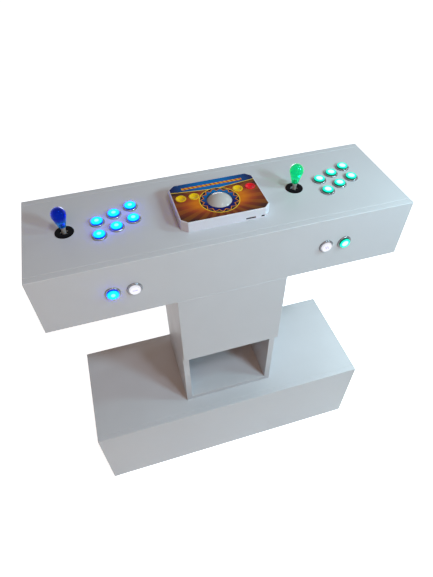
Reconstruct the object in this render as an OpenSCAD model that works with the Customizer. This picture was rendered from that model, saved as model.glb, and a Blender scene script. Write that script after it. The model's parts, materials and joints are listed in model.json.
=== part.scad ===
// Two-player arcade cabinet: a control box on a column with an open bay, on a plinth.
// Millimetres. The floor is z = 0, the player stands on the -Y side, and x = 0 is the middle.

/* [Boards] */

// Thickness of every board
board = 18; // [16:1:20]
// Distance from a joint's end to its first dowel
dowel_inset = 60; // [50:5:80]

/* [Control box] */

// Width of the control box
box_w = 920; // [900:10:1100]
// Depth of the control box, face to rear
box_d = 292; // [288:2:360]
// Height of the control box
box_h = 166; // [160:2:220]

/* [Column] */

// Width of the column
column_w = 292; // [260:4:360]
// Depth of the column, face to rear
column_d = 272; // [240:4:288]
// Height of the column
column_h = 525; // [450:5:650]
// Height of the open bay above the plinth
bay_h = 264; // [150:4:340]

/* [Plinth] */

// Width of the plinth
base_w = 905; // [600:5:1100]
// Depth of the plinth
base_d = 346; // [336:2:420]
// Height of the plinth
base_h = 300; // [150:5:400]
// How far the cabinet's face stands behind the plinth's face
face_setback = 41; // [0:1:50]

/* [Layout of the controls] */

// Middle of a player's controls from the middle of the box
group_x = 285; // [270:1:300]
// Joystick to the left of the middle of its group
stick_dx = 80; // [78:1:90]
// Joystick from the face of the box
stick_from_face = 142; // [110:1:170]
// First button column to the left of the middle of its group
first_column_dx = 4; // [0:1:6]
// Nearest button from the face of the box
near_row_from_face = 106; // [80:1:120]
// Distance between button columns
column_pitch = 42; // [41:1:46]
// How much farther from the player each column lies than the one on its left
column_step = 18; // [0:1:24]
// Distance between the two button rows
row_pitch = 49; // [44:1:60]
// Middle of a pair of front buttons from the middle of the box
front_pair_x = 264; // [100:1:380]
// Distance between the two front buttons of a pair
front_pitch = 50; // [42:1:80]
// Front buttons below the top of the box
front_drop = 83; // [80:1:100]

/* [Push buttons] */

// Hole for a button
button_hole_d = 30; // [28.5:0.5:32]
// Outer diameter of the bezel
bezel_d = 36; // [34:0.5:40]
// Height of the bezel above the panel
bezel_h = 3.2; // [2:0.1:5]
// Diameter of the lit plunger
plunger_d = 27; // [24:0.2:27.2]
// Height of the released plunger above the panel
plunger_rise = 7.4; // [4.6:0.1:9]
// Travel of the plunger
press = 3; // [1.5:0.1:4]
// Length of the barrel below the bezel
barrel_l = 28; // [27:0.5:36]
// Height of the nut
nut_h = 7; // [4:0.5:8]
// Nut across its corners
nut_d = 40; // [38:0.5:40]

/* [Joysticks] */

// Tilt to each side
tilt = 9; // [5:0.5:10]
// Diameter of the shaft
shaft_d = 9.5; // [8:0.5:10]
// Diameter of the shaft's tapered shoulder under the bat top
shoulder_d = 13; // [10.5:0.5:16]
// Diameter of the dust washer
washer_d = 44; // [36:1:50]
// Thickness of the dust washer
washer_t = 1.6; // [1:0.1:2.5]
// Largest diameter of the bat top
bat_d = 34; // [28:0.5:40]
// Diameter of the bat top at its foot
bat_foot_d = 17.5; // [16:0.5:22]
// Height of the bat top
bat_h = 51; // [40:1:70]
// Height of the widest place above the foot of the bat top
bat_wide_h = 33; // [22:1:38]
// Foot of the bat top above the panel
bat_rise = 18; // [12:0.5:26]
// Depth of the pocket under the panel for the mounting plate
pocket = 8; // [6:0.5:9]
// Width of the mounting plate
plate_w = 96; // [90:1:100]
// Depth of the mounting plate
plate_d = 54; // [52:1:60]
// Height of the stick housing
housing_h = 36; // [34:1:40]

/* [Trackball unit] */

// Width of the unit
unit_w = 216; // [210:1:226]
// Depth of the unit
unit_d = 150; // [146:1:160]
// Height of the unit above the panel
unit_rise = 27; // [25:0.5:32]
// Size of the cut corners
unit_corner = 15; // [8:0.5:20]
// Middle of the unit from the face of the box
unit_from_face = 131; // [126:1:136]
// Diameter of the ball
ball_d = 76.2; // [72:0.1:77]
// How much of the ball shows above the unit
ball_show = 13.5; // [12:0.5:18]
// Ball in front of the middle of the unit
ball_dy = 13; // [8:1:16]
// Outer keys from the middle of the unit
outer_key_x = 87; // [84:1:88]
// Inner keys from the middle of the unit
inner_key_x = 55; // [55:1:58]
// Keys behind the middle of the unit
key_dy = 17; // [14:1:30]
// Diameter of a key cap
key_d = 25.4; // [22:0.2:26]
// Width of the flat rim round a key cap's bowl
key_rim = 2.8; // [2:0.1:5]
// Depth of the bowl in a key cap
key_bowl = 3.4; // [0.5:0.1:4]
// Height of a key cap above the overlay
key_rise = 1; // [0.6:0.1:4]
// Travel of a key cap
key_press = 2; // [1:0.1:2.2]

/* [Fits] */

// Radial room around dowels, screws and barrels
slip = 0.1; // [0.05:0.05:0.2]
// Radial running room of pins and shafts
run = 0.05; // [0.02:0.01:0.1]
// Radial room around plungers and key caps
free = 0.4; // [0.3:0.05:0.6]
// Gap between the ball and what carries it
seat = 0.3; // [0.3:0.05:0.6]

/* [Hidden] */

$fn = 64;
eps = 1;

// Heights and depths of the boxes
face_y = face_setback - base_d / 2;
box_z0 = base_h + column_h;
top_z = box_z0 + box_h;
under_z = top_z - board;
inner_y0 = face_y + board;
inner_y1 = face_y + box_d - board;
box_x = box_w / 2;
column_x = column_w / 2;
column_y1 = face_y + column_d;
base_x = base_w / 2;
base_y = base_d / 2;
lintel_z = base_h + bay_h;

// Dowels and screws
dowel_d = 8;
dowel_l = 35;
dowel_in = 12;
dowel_end = 0.5;
screw_d = 4.5;
screw_l = 45;
screw_head_d = 9;
screw_head_h = 2.6;
drive_w = 1;
drive_l = 5.4;
drive_h = 1.2;
pan_d = 4;
pan_head_d = 7.6;
pan_head_h = 2.6;

// Push button
plunger_r = plunger_d / 2;
bore_r = plunger_r + free;
barrel_r = button_hole_d / 2 - slip;
bezel_r = bezel_d / 2;
bezel_edge = 0.8;
bezel_lip = 1.2;
plunger_wall = 1.6;
plunger_round = 1.2;
plunger_rim = 1.6;
plunger_dish = 0.5;
plunger_crown = 2.6;
skirt_l = 14;
leg_w = 5;
leg_x0 = plunger_r - 3.2;
leg_x1 = plunger_r - 0.6;
holder_h = 3;
neck_h = press + 0.6;
leg_l = barrel_l + holder_h - 1;
lamp_d = 6;
lamp_top = press + 2.6;
switch_l = 27.8;
switch_w = 10.3;
switch_h = 15.9;

// Joystick, measured down from the top of the panel
plate_t = 2;
plate_hole_d = 34;
plate_screw_x = 42;
plate_screw_y = 20;
plate_screw_l = 9;
shaft_hole_d = 28;
pocket_room = 1;
plate_z = pocket - board;
housing_z = plate_z - plate_t;
pivot_z = housing_z - 4;
housing_w = 60;
housing_d = plate_d;
housing_wall = 2.5;
collar_d = 42;
collar_bore = 32;
collar_h = 10;
ring_d = 26;
ring_bore = 18;
ring_h = 6;
ring_pin_d = 4;
ring_pin_l = collar_d / 2 - 0.5;
cross_pin_d = 3;
cross_pin_l = ring_d / 2 - 0.2;
floor_z = housing_z - housing_h;
gate_t = 3;
actuator_d = 18;
actuator_h = 8;
actuator_z = floor_z + 3;
spring_d = 12.4;
spring_wire = 1.2;
spring_turns = 5;
spring_sides = 8;
spring_steps = 16;
spring_z = pivot_z - ring_h;
shaft_r = shaft_d / 2;
shoulder_gap = 2.4;
shoulder_z = washer_t + shoulder_gap;
bat_bore_l = 13;
bat_r = bat_d / 2;
bat_foot_r = bat_foot_d / 2;
bat_slope = acos(bat_r / sqrt(pow(bat_foot_r, 2) + pow(bat_wide_h, 2))) - atan2(bat_wide_h, bat_foot_r);
stick_l_up = bat_rise + bat_bore_l;
stick_l_down = gate_t + 3 - floor_z;
sweep = tan(tilt) * sqrt(2);
tilted = 1 / cos(tilt * sqrt(2));
washer_hole = 2 * (shaft_r * tilted + (washer_t - pivot_z) * sweep + free);
gate_hole = 2 * (shaft_r * tilted + (stick_l_down + pivot_z) * tan(tilt) + free);
stick_switch_gap = actuator_d / 2 * tilted + (pivot_z - actuator_z) * tan(tilt) + 2.2;
stick_switch_l = 19.8;
stick_switch_t = 6.4;
stick_switch_h = 10.6;
plug_w = 14;
plug_d = 6;
plug_h = 7;

// Trackball unit, heights in the cabinet's frame
unit_y = face_y + unit_from_face;
unit_z = top_z + unit_rise;
unit_wall = 2.6;
unit_top_t = 3;
unit_gap = 0.5;
unit_boss_d = 9;
unit_boss_x = 90;
unit_boss_y = 58;
overlay_t = 0.4;
overlay_rim = 2.4;
ball_r = ball_d / 2;
ball_y = unit_y - ball_dy;
ball_z = unit_z + ball_show - ball_r;
ball_hole_top = sqrt(ball_r * ball_r - (unit_z - ball_z) * (unit_z - ball_z)) + 1.6;
ball_hole_under = sqrt(ball_r * ball_r - pow(unit_z - unit_top_t - ball_z, 2)) + 1.6;
key_r = key_d / 2;
key_hole_r = key_r + free;
key_flange = 1.5;
key_flange_t = 1.5;
key_edge = 0.8;
key_stem_d = 6;
key_stem_l = 7;
pcb_t = 1.6;
pcb_rise = 1.5;
pcb_z = top_z + pcb_rise;
pcb_inset = 4;
pcb_ball_room = 3;
key_switch_w = 12;
key_switch_top = unit_z - unit_top_t - key_stem_l - key_press - free;
port_gap = 0.5;
port_z = pcb_z + pcb_t + port_gap;
port_h = 4.2;
port_face = 0.6;
mouth_wall = 0.8;
mouth_l = 8;
card_x = 58;
card_w = 24;
card_l = 26;
socket_x = 88;
socket_w = 8;
socket_l = 6;
flange_t = 3;
flange_out = 14;
flange_d = 120;
tub_inset = 5;
tub_h = 24;
tub_wall = 2.5;
tub_z = under_z - flange_t - tub_h;
tub_floor_z = tub_z + flange_t;
flange_screw_y = 45;
flange_screw_l = 15;
unit_screw_d = 3;
unit_screw_l = 62;
roller_angle = 35;
roller_d = 10;
roller_l = 30;
spindle_d = 6;
spindle_l0 = 40;
spindle_l1 = 29;
encoder_d = 26;
encoder_t = 1;
encoder_at = 36;
encoder_slots = 12;
encoder_slot_r0 = 8.5;
encoder_slot_l = 3;
roller_out = (ball_r + roller_d / 2 + seat) * cos(roller_angle);
roller_z = ball_z - (ball_r + roller_d / 2 + seat) * sin(roller_angle);
cradle_t = 3;
cradle_x = 46;
cradle_y = 52;
post_t = 6;
post_w = 12;
post_at = 25;
pad_d = 8;
pad_out = (ball_r + pad_d / 2 + seat) * cos(roller_angle);
pad_z = ball_z - (ball_r + pad_d / 2 + seat) * sin(roller_angle);

// Game board, inlet and loom
deck_z = box_z0 + board;
game_x = 200;
game_y = 30;
game_w = 190;
game_d = 130;
game_hole_x = 88;
game_hole_y = 58;
spacer_d = 7;
spacer_h = 10;
game_screw_d = 3;
game_screw_l = 22;
game_z = deck_z + spacer_h;
sink_w = 40;
sink_h = 14;
sink_fins = 6;
sink_fin_t = 2;
loom_plug_x = 150;
loom_plug_w = 40;
loom_plug_d = 10;
loom_plug_h = 22;
inlet_x = -200;
inlet_drop = 90;
inlet_d = 13.6;
inlet_flange_d = 18;
inlet_flange_t = 1.5;
inlet_l = 26;
inlet_nut_d = 20;
inlet_nut_h = 4;
inlet_bore_d = 6.4;
inlet_bore_l = 10;
inlet_pin_d = 2;
trunk_d = 8;
branch_d = 6;
bend_d = 8;
loom_y = inner_y1 - 32;
loom_z = under_z - trunk_d / 2 - seat;
unit_lead_x = 60;
unit_lead_drop = 11;

// Colours
paint = "#b7b9c0";
raw_wood = "#c9a77a";
steel = "#b9bcc1";
chrome = "#d9dce0";
black_plastic = "#1b1c1f";
white_plastic = "#f1f1ef";
blue_clear = "#2a55d8";
cyan_clear = "#58c8f4";
green_clear = "#37b56a";
mint_clear = "#c9f5e6";
cable_jacket = "#26272b";
circuit = "#1f5b3a";

// Helpers

// Values spread evenly from a to b
function spread(n, a, b) = [for (i = [0:n - 1]) a + (b - a) * i / (n - 1)];

// Box between two opposite corners
module slab(lo, hi) {
    translate(lo)
        cube(hi - lo);
}

// Rectangle with four cut corners, grown by g on every side
module cut_rectangle(w, d, corner, g = 0) {
    x = w / 2 + g;
    y = d / 2 + g;
    c = corner + g * (2 - sqrt(2));
    polygon([[-x, c - y], [c - x, -y], [x - c, -y], [x, c - y],
             [x, y - c], [x - c, y], [c - x, y], [-x, y - c]]);
}

// Straight run of cable along one axis, from a lower to a higher end
module cable(from, to, d) {
    v = to - from;
    turn = v.x > 0 ? [0, 90, 0] : v.y > 0 ? [-90, 0, 0] : [0, 0, 0];
    translate(from)
        rotate(turn)
            cylinder(d = d, h = norm(v));
}

// Places of the controls
function stick_at(side) = [side * group_x - stick_dx, face_y + stick_from_face, top_z];
function button_at(side, i) = [
    side * group_x - first_column_dx + (i % 3) * column_pitch,
    face_y + near_row_from_face + (i % 3) * column_step + (i < 3 ? row_pitch : 0),
    top_z];
function front_at(i) = [
    (i < 2 ? -1 : 1) * front_pair_x + (i % 2 == 0 ? -1 : 1) * front_pitch / 2,
    face_y,
    top_z - front_drop];
function key_at(i) = [[-outer_key_x, -inner_key_x, inner_key_x, outer_key_x][i], unit_y + key_dy, unit_z];

// Every push button's place, with its local +Z pointing out of the panel
module each_button() {
    for (side = [-1, 1], i = [0:5])
        translate(button_at(side, i))
            children();
    for (i = [0:3])
        at_front(i)
            children();
}

module at_front(i) {
    translate(front_at(i))
        rotate([90, 0, 0])
            children();
}

module each_stick() {
    for (side = [-1, 1])
        translate(stick_at(side))
            children();
}

// Dowels and screws, drawn again with room g to bore the boards

// A dowel across the joint at p: its longer half points along the turned Z
module dowel(p, turn, g) {
    room = g > 0 ? dowel_end : 0;
    translate(p)
        rotate(turn)
            translate([0, 0, -dowel_in - room])
                cylinder(d = dowel_d + 2 * g, h = dowel_l + 2 * room);
}

module box_dowels(g = 0) {
    for (x = spread(5, dowel_inset - box_x, box_x - dowel_inset))
        for (z = [top_z - board / 2, box_z0 + board / 2])
            dowel([x, inner_y0, z], [-90, 0, 0], g);
    for (s = [-1, 1]) {
        for (z = spread(2, box_z0 + dowel_inset * 0.75, under_z - dowel_inset * 0.75))
            dowel([s * (box_x - board / 2), inner_y0, z], [-90, 0, 0], g);
        for (y = spread(3, inner_y0 + dowel_inset, inner_y1 - dowel_inset))
            dowel([s * (box_x - board / 2), y, under_z], [180, 0, 0], g);
        for (y = spread(3, inner_y0 + dowel_inset, inner_y1 - dowel_inset))
            dowel([s * (box_x - board), y, box_z0 + board / 2], [0, -90 * s, 0], g);
    }
}

module column_dowels(g = 0) {
    for (s = [-1, 1]) {
        for (z = spread(3, lintel_z + dowel_inset / 2, box_z0 - dowel_inset))
            dowel([s * (column_x - board / 2), inner_y0, z], [-90, 0, 0], g);
        for (y = spread(2, inner_y0 + dowel_inset * 1.5, column_y1 - dowel_inset * 1.5))
            dowel([s * (column_x - board), y, base_h + board / 2], [0, -90 * s, 0], g);
        for (z = spread(4, base_h + dowel_inset * 1.5, box_z0 - dowel_inset))
            dowel([s * (column_x - board), column_y1 - board / 2, z], [0, -90 * s, 0], g);
    }
}

module base_dowels(g = 0) {
    for (s = [-1, 1]) {
        for (x = spread(5, dowel_inset - base_x, base_x - dowel_inset))
            for (z = [base_h - board / 2, board / 2])
                dowel([x, s * (base_y - board), z], [90 * s, 0, 0], g);
        for (z = spread(2, dowel_inset, base_h - dowel_inset))
            for (t = [-1, 1])
                dowel([s * (base_x - board / 2), t * (base_y - board), z], [90 * t, 0, 0], g);
        for (y = spread(3, board + dowel_inset - base_y, base_y - board - dowel_inset)) {
            dowel([s * (base_x - board / 2), y, base_h - board], [180, 0, 0], g);
            dowel([s * (base_x - board), y, board / 2], [0, -90 * s, 0], g);
        }
    }
}

// Countersunk wood screw, its head's face at the origin and its point up the Z axis
module wood_screw(g = 0) {
    difference() {
        union() {
            cylinder(d1 = screw_head_d + 2 * g, d2 = screw_d + 2 * g, h = screw_head_h);
            cylinder(d = screw_d + 2 * g, h = screw_l + g);
        }
        if (g == 0)
            for (a = [0, 90])
                rotate(a)
                    translate([-drive_l / 2, -drive_w / 2, -eps])
                        cube([drive_l, drive_w, drive_h + eps]);
    }
}

// Pan-head screw, its head's seat at the origin and its point up the Z axis
module pan_screw(d, l, g = 0) {
    translate([0, 0, g > 0 ? -eps : 0])
        cylinder(d = d + 2 * g, h = l + (g > 0 ? eps + g : 0));
    if (g == 0)
        difference() {
            translate([0, 0, -pan_head_h])
                cylinder(d = pan_head_d * d / pan_d, h = pan_head_h);
            for (a = [0, 90])
                rotate(a)
                    translate([-d / 2, -drive_w / 2, -pan_head_h - eps])
                        cube([d, drive_w, drive_h + eps]);
        }
}

module rear_screws(g = 0) {
    for (x = spread(4, dowel_inset * 1.5 - box_x, box_x - dowel_inset * 1.5))
        for (z = [top_z - board / 2, box_z0 + board / 2])
            translate([x, inner_y1 + board, z])
                rotate([90, 0, 0])
                    wood_screw(g);
}

module column_screws(g = 0) {
    for (s = [-1, 1], y = [inner_y0 + dowel_inset, column_y1 - dowel_inset])
        translate([s * (column_x - board / 2), y, 0]) {
            translate([0, 0, deck_z])
                rotate([180, 0, 0])
                    wood_screw(g);
            translate([0, 0, base_h - board])
                wood_screw(g);
        }
}

module plate_screws(g = 0) {
    for (x = [-plate_screw_x, plate_screw_x], y = [-plate_screw_y, plate_screw_y])
        translate([x, y, plate_z - plate_t])
            pan_screw(pan_d, plate_screw_l, g);
}

module flange_screws(g = 0) {
    for (s = [-1, 1], y = [-flange_screw_y, flange_screw_y])
        translate([s * (unit_w + flange_out) / 2, unit_y + y, under_z - flange_t])
            pan_screw(pan_d, flange_screw_l, g);
}

module unit_screws(g = 0) {
    for (x = [-unit_boss_x, unit_boss_x], y = [-unit_boss_y, unit_boss_y])
        translate([x, unit_y + y, tub_z])
            pan_screw(unit_screw_d, unit_screw_l, g);
}

module game_screws(g = 0) {
    for (x = [-game_hole_x, game_hole_x], y = [-game_hole_y, game_hole_y])
        translate([game_x + x, game_y + y, game_z + pcb_t])
            rotate([180, 0, 0])
                pan_screw(game_screw_d, game_screw_l, g);
}

// Control box

module top_panel() {
    color(paint)
        difference() {
            slab([-box_x, inner_y0, under_z], [box_x, inner_y1, top_z]);
            box_dowels(slip);
            rear_screws(slip);
            flange_screws(slip);
            each_stick() {
                translate([0, 0, -board - eps])
                    cylinder(d = shaft_hole_d, h = board + 2 * eps);
                translate([-plate_w / 2 - pocket_room, -plate_d / 2 - pocket_room, -board - eps])
                    cube([plate_w + 2 * pocket_room, plate_d + 2 * pocket_room, pocket + eps]);
                plate_screws(slip);
            }
            each_button()
                translate([0, 0, -board - eps])
                    cylinder(d = button_hole_d, h = board + 2 * eps);
            translate([0, unit_y, under_z - eps])
                linear_extrude(board + 2 * eps)
                    cut_rectangle(unit_w, unit_d, unit_corner, unit_gap);
        }
}

module front_panel() {
    color(paint)
        difference() {
            slab([-box_x, face_y, box_z0], [box_x, inner_y0, top_z]);
            box_dowels(slip);
            for (i = [0:3])
                at_front(i)
                    translate([0, 0, -board - eps])
                        cylinder(d = button_hole_d, h = board + 2 * eps);
        }
}

module rear_panel() {
    color(paint)
        difference() {
            slab([-box_x, inner_y1, box_z0], [box_x, inner_y1 + board, top_z]);
            rear_screws(slip);
            translate([inlet_x, inner_y1 - eps, top_z - inlet_drop])
                rotate([-90, 0, 0])
                    cylinder(d = inlet_d + 2 * slip, h = board + 2 * eps);
        }
}

module box_ends() {
    color(paint)
        for (s = [-1, 1])
            difference() {
                slab([s * (box_x - board / 2) - board / 2, inner_y0, box_z0],
                     [s * (box_x - board / 2) + board / 2, inner_y1, under_z]);
                box_dowels(slip);
            }
}

module box_floor() {
    color(paint)
        difference() {
            slab([board - box_x, inner_y0, box_z0], [box_x - board, inner_y1, deck_z]);
            box_dowels(slip);
            rear_screws(slip);
            column_screws(slip);
            game_screws(slip);
        }
}

// Column

module column_sides() {
    color(paint)
        for (s = [-1, 1])
            difference() {
                slab([s * (column_x - board / 2) - board / 2, inner_y0, base_h],
                     [s * (column_x - board / 2) + board / 2, column_y1, box_z0]);
                column_dowels(slip);
                column_screws(slip);
            }
}

module column_front() {
    color(paint)
        difference() {
            slab([-column_x, face_y, lintel_z], [column_x, inner_y0, box_z0]);
            column_dowels(slip);
        }
}

module column_back() {
    color(paint)
        difference() {
            slab([board - column_x, column_y1 - board, base_h + board],
                 [column_x - board, column_y1, box_z0]);
            column_dowels(slip);
        }
}

module column_shelf() {
    color(paint)
        difference() {
            slab([board - column_x, inner_y0, base_h], [column_x - board, column_y1, base_h + board]);
            column_dowels(slip);
        }
}

// Plinth

module base_top() {
    color(paint)
        difference() {
            slab([-base_x, board - base_y, base_h - board], [base_x, base_y - board, base_h]);
            base_dowels(slip);
            column_screws(slip);
        }
}

// Long board of the plinth: s is -1 for the front one and 1 for the rear one
module base_long_board(s) {
    color(paint)
        difference() {
            slab([-base_x, s * (base_y - board / 2) - board / 2, 0],
                 [base_x, s * (base_y - board / 2) + board / 2, base_h]);
            base_dowels(slip);
        }
}

module base_ends() {
    color(paint)
        for (s = [-1, 1])
            difference() {
                slab([s * (base_x - board / 2) - board / 2, board - base_y, 0],
                     [s * (base_x - board / 2) + board / 2, base_y - board, base_h - board]);
                base_dowels(slip);
            }
}

module base_floor() {
    color(paint)
        difference() {
            slab([board - base_x, board - base_y, 0], [base_x - board, base_y - board, board]);
            base_dowels(slip);
        }
}

module box_joint_dowels() {
    color(raw_wood)
        box_dowels();
}

module stand_joint_dowels() {
    color(raw_wood) {
        column_dowels();
        base_dowels();
    }
}

module screws() {
    color(steel) {
        rear_screws();
        column_screws();
        flange_screws();
        unit_screws();
        game_screws();
        each_stick()
            plate_screws();
    }
}

// Joysticks

module stick_plates() {
    color(steel)
        each_stick()
            difference() {
                translate([-plate_w / 2, -plate_d / 2, plate_z - plate_t])
                    cube([plate_w, plate_d, plate_t]);
                translate([0, 0, plate_z - plate_t - eps])
                    cylinder(d = plate_hole_d, h = plate_t + 2 * eps);
                plate_screws(slip);
            }
}

// Shell with the pivot ring's collar and the loom's plug, four switches inside it, and the gate below
module stick_housings() {
    color(black_plastic)
        each_stick() {
            difference() {
                union() {
                    difference() {
                        translate([-housing_w / 2, -housing_d / 2, floor_z])
                            cube([housing_w, housing_d, housing_h]);
                        translate([housing_wall - housing_w / 2, housing_wall - housing_d / 2, floor_z - eps])
                            cube([housing_w, housing_d, housing_h + eps] - 2 * housing_wall * [1, 1, 0.5]);
                    }
                    translate([0, 0, housing_z - collar_h])
                        cylinder(d = collar_d, h = collar_h);
                    translate([-plug_w / 2, housing_d / 2 - eps, loom_z - top_z - plug_h / 2])
                        cube([plug_w, plug_d + eps, plug_h]);
                }
                translate([0, 0, housing_z - collar_h - eps])
                    cylinder(d = collar_bore, h = collar_h + 2 * eps);
                translate([-collar_d / 2 - eps, 0, pivot_z])
                    rotate([0, 90, 0])
                        cylinder(d = ring_pin_d + 2 * run, h = collar_d + 2 * eps);
            }
            difference() {
                translate([-housing_w / 2, -housing_d / 2, floor_z - gate_t - slip])
                    cube([housing_w, housing_d, gate_t]);
                translate([-gate_hole / 2, -gate_hole / 2, floor_z - gate_t - slip - eps])
                    cube([gate_hole, gate_hole, gate_t + 2 * eps]);
            }
            for (a = [0:90:270])
                rotate(a)
                    translate([stick_switch_gap, -stick_switch_l / 2, floor_z])
                        cube([stick_switch_t, stick_switch_l, stick_switch_h]);
        }
}

module dust_washers() {
    color(black_plastic)
        each_stick()
            difference() {
                cylinder(d = washer_d, h = washer_t);
                translate([0, 0, -eps])
                    cylinder(d = washer_hole, h = washer_t + 2 * eps);
            }
}

// Tilts about X on its two outer pins, and carries the shaft's cross pin along Y
module pivot_ring(side) {
    color(white_plastic)
        translate(stick_at(side) + [0, 0, pivot_z])
            difference() {
                union() {
                    translate([0, 0, -ring_h / 2])
                        cylinder(d = ring_d, h = ring_h);
                    translate([-ring_pin_l, 0, 0])
                        rotate([0, 90, 0])
                            cylinder(d = ring_pin_d, h = 2 * ring_pin_l);
                }
                translate([0, 0, -ring_h / 2 - eps])
                    cylinder(d = ring_bore, h = ring_h + 2 * eps);
                translate([0, ring_d, 0])
                    rotate([90, 0, 0])
                        cylinder(d = cross_pin_d + 2 * run, h = 2 * ring_d);
            }
}

// Return spring: a round wire swept along a helix from z = 0 down to the actuator
module coil(height) {
    turns = spring_turns;
    n = turns * spring_steps;
    m = spring_sides;
    r = (spring_d - spring_wire) / 2;
    points = [for (i = [0:n], j = [0:m - 1])
        let (a = 360 * i / spring_steps, b = 360 * j / m, q = r + spring_wire / 2 * cos(b))
        [q * cos(a), q * sin(a), -height * i / n + spring_wire / 2 * sin(b)]];
    sides = [for (i = [0:n - 1], j = [0:m - 1])
        [i * m + j, i * m + (j + 1) % m, (i + 1) * m + (j + 1) % m, (i + 1) * m + j]];
    caps = [[for (j = [m - 1:-1:0]) j], [for (j = [0:m - 1]) n * m + j]];
    polyhedron(points, concat(sides, caps), convexity = 10);
}

// Steel shaft with its shoulder and cross pin, the return spring and the actuator that meets the switches
module stick_shaft(side) {
    color(steel)
        translate(stick_at(side)) {
            rotate_extrude()
                polygon([
                    [0, -stick_l_down], [shaft_r, -stick_l_down], [shaft_r, shoulder_z],
                    [shoulder_d / 2, bat_rise], [shaft_r, bat_rise], [shaft_r, stick_l_up], [0, stick_l_up]]);
            translate([0, cross_pin_l, pivot_z])
                rotate([90, 0, 0])
                    cylinder(d = cross_pin_d, h = 2 * cross_pin_l);
            translate([0, 0, spring_z])
                coil(spring_z - actuator_z - actuator_h - spring_wire);
            difference() {
                translate([0, 0, actuator_z])
                    cylinder(d = actuator_d, h = actuator_h);
                translate([0, 0, actuator_z - eps])
                    cylinder(d = shaft_d + 2 * run, h = actuator_h + 2 * eps);
            }
        }
}

// Outline of the bat top: a straight taper into the round belly, then a quarter ellipse to the crown
function bat_outline() = concat(
    [[bat_foot_r, 0]],
    [for (i = [4:-1:0])
        [bat_r * cos(bat_slope * i / 4), bat_wide_h + bat_r * sin(bat_slope * i / 4)]],
    [for (a = [10:10:90])
        [bat_r * cos(a), bat_wide_h + (bat_h - bat_wide_h) * sin(a)]]);

module bat_top(side) {
    color(side < 0 ? blue_clear : green_clear)
        translate(stick_at(side) + [0, 0, bat_rise])
            difference() {
                rotate_extrude()
                    polygon(concat([[0, 0]], bat_outline()));
                translate([0, 0, -eps])
                    cylinder(d = shaft_d + 2 * run, h = bat_bore_l + slip + eps);
            }
}

// Push buttons

module button_bezels() {
    color(chrome)
        each_button()
            rotate_extrude()
                polygon(concat(
                    [[bore_r, -barrel_l], [barrel_r, -barrel_l], [barrel_r, 0], [bezel_r, 0]],
                    [for (a = [0:15:90])
                        [bore_r + bezel_lip + (bezel_r - bore_r - bezel_lip) * cos(a),
                         bezel_edge + (bezel_h - bezel_edge) * sin(a)]],
                    [[bore_r, bezel_h - bezel_edge]]));
}

module button_nuts() {
    color(black_plastic)
        each_button()
            translate([0, 0, -board - nut_h])
                difference() {
                    cylinder(d = nut_d, h = nut_h, $fn = 6);
                    translate([0, 0, -eps])
                        cylinder(r = barrel_r + slip, h = nut_h + 2 * eps);
                }
}

// Holder that closes the barrel, with the lamp above it and the microswitch below
module button_switches() {
    color(black_plastic)
        each_button()
            translate([0, 0, -barrel_l]) {
                difference() {
                    translate([0, 0, -holder_h])
                        cylinder(r = barrel_r, h = holder_h);
                    for (s = [-1, 1])
                        translate([s * (leg_x0 + leg_x1) / 2, 0, -holder_h / 2])
                            cube(
                                [leg_x1 - leg_x0 + 2 * free, leg_w + 2 * free, holder_h + 2 * eps],
                                center = true);
                }
                translate([0, 0, -eps])
                    cylinder(d = lamp_d, h = barrel_l - lamp_top + eps);
                translate([-leg_x0 / 2, -switch_w / 2, -holder_h - neck_h - eps])
                    cube([leg_x0, switch_w, neck_h + 2 * eps]);
                translate([-switch_l / 2, -switch_w / 2, -holder_h - neck_h - switch_h])
                    cube([switch_l, switch_w, switch_h]);
            }
}

// Hollow lit plunger with a raised rim, a shallow crown and two legs down to the switch
module plunger(tone) {
    rim = plunger_r - plunger_round - plunger_rim;
    color(tone) {
        rotate_extrude()
            polygon(concat(
                [[plunger_r - plunger_wall, -skirt_l], [plunger_r, -skirt_l]],
                [for (a = [0:15:90])
                    [plunger_r - plunger_round + plunger_round * cos(a),
                     plunger_rise - plunger_round + plunger_round * sin(a)]],
                [[rim, plunger_rise], [rim - plunger_dish, plunger_rise - plunger_dish]],
                [for (q = [0.8:-0.2:0])
                    [(rim - plunger_dish) * q, plunger_rise - plunger_dish * q * q]],
                [[0, plunger_rise - plunger_crown],
                 [plunger_r - plunger_wall, plunger_rise - plunger_crown]]));
        for (s = [0, 180])
            rotate(s)
                translate([leg_x0, -leg_w / 2, -leg_l])
                    cube([leg_x1 - leg_x0, leg_w, leg_l - skirt_l + plunger_round]);
    }
}

module top_plunger(side, i) {
    translate(button_at(side, i))
        plunger(side < 0 ? cyan_clear : mint_clear);
}

module front_plunger(i) {
    at_front(i)
        plunger([cyan_clear, white_plastic, white_plastic, green_clear][i]);
}

// Trackball unit

// Upper shell: walls, top with the ball's conical opening, key holes, ports and screw bosses
module trackball_housing() {
    color(white_plastic)
        translate([0, unit_y, 0])
            difference() {
                union() {
                    difference() {
                        translate([0, 0, under_z])
                            linear_extrude(unit_z - under_z)
                                cut_rectangle(unit_w, unit_d, unit_corner);
                        translate([0, 0, under_z - eps])
                            linear_extrude(unit_z - unit_top_t - under_z + eps)
                                cut_rectangle(unit_w, unit_d, unit_corner, -unit_wall);
                    }
                    for (x = [-unit_boss_x, unit_boss_x], y = [-unit_boss_y, unit_boss_y])
                        translate([x, y, pcb_z + pcb_t])
                            cylinder(d = unit_boss_d, h = unit_z - pcb_z - pcb_t - eps);
                }
                translate([0, -ball_dy, unit_z - unit_top_t])
                    cylinder(r1 = ball_hole_under, r2 = ball_hole_top, h = unit_top_t);
                for (i = [0:3])
                    translate(key_at(i) - [0, unit_y, unit_top_t + eps])
                        cylinder(r = key_hole_r, h = unit_top_t + 2 * eps);
                translate([0, -unit_y, 0])
                    unit_screws(slip);
                port(card_x, card_w);
                port(socket_x, socket_w);
            }
}

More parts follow.
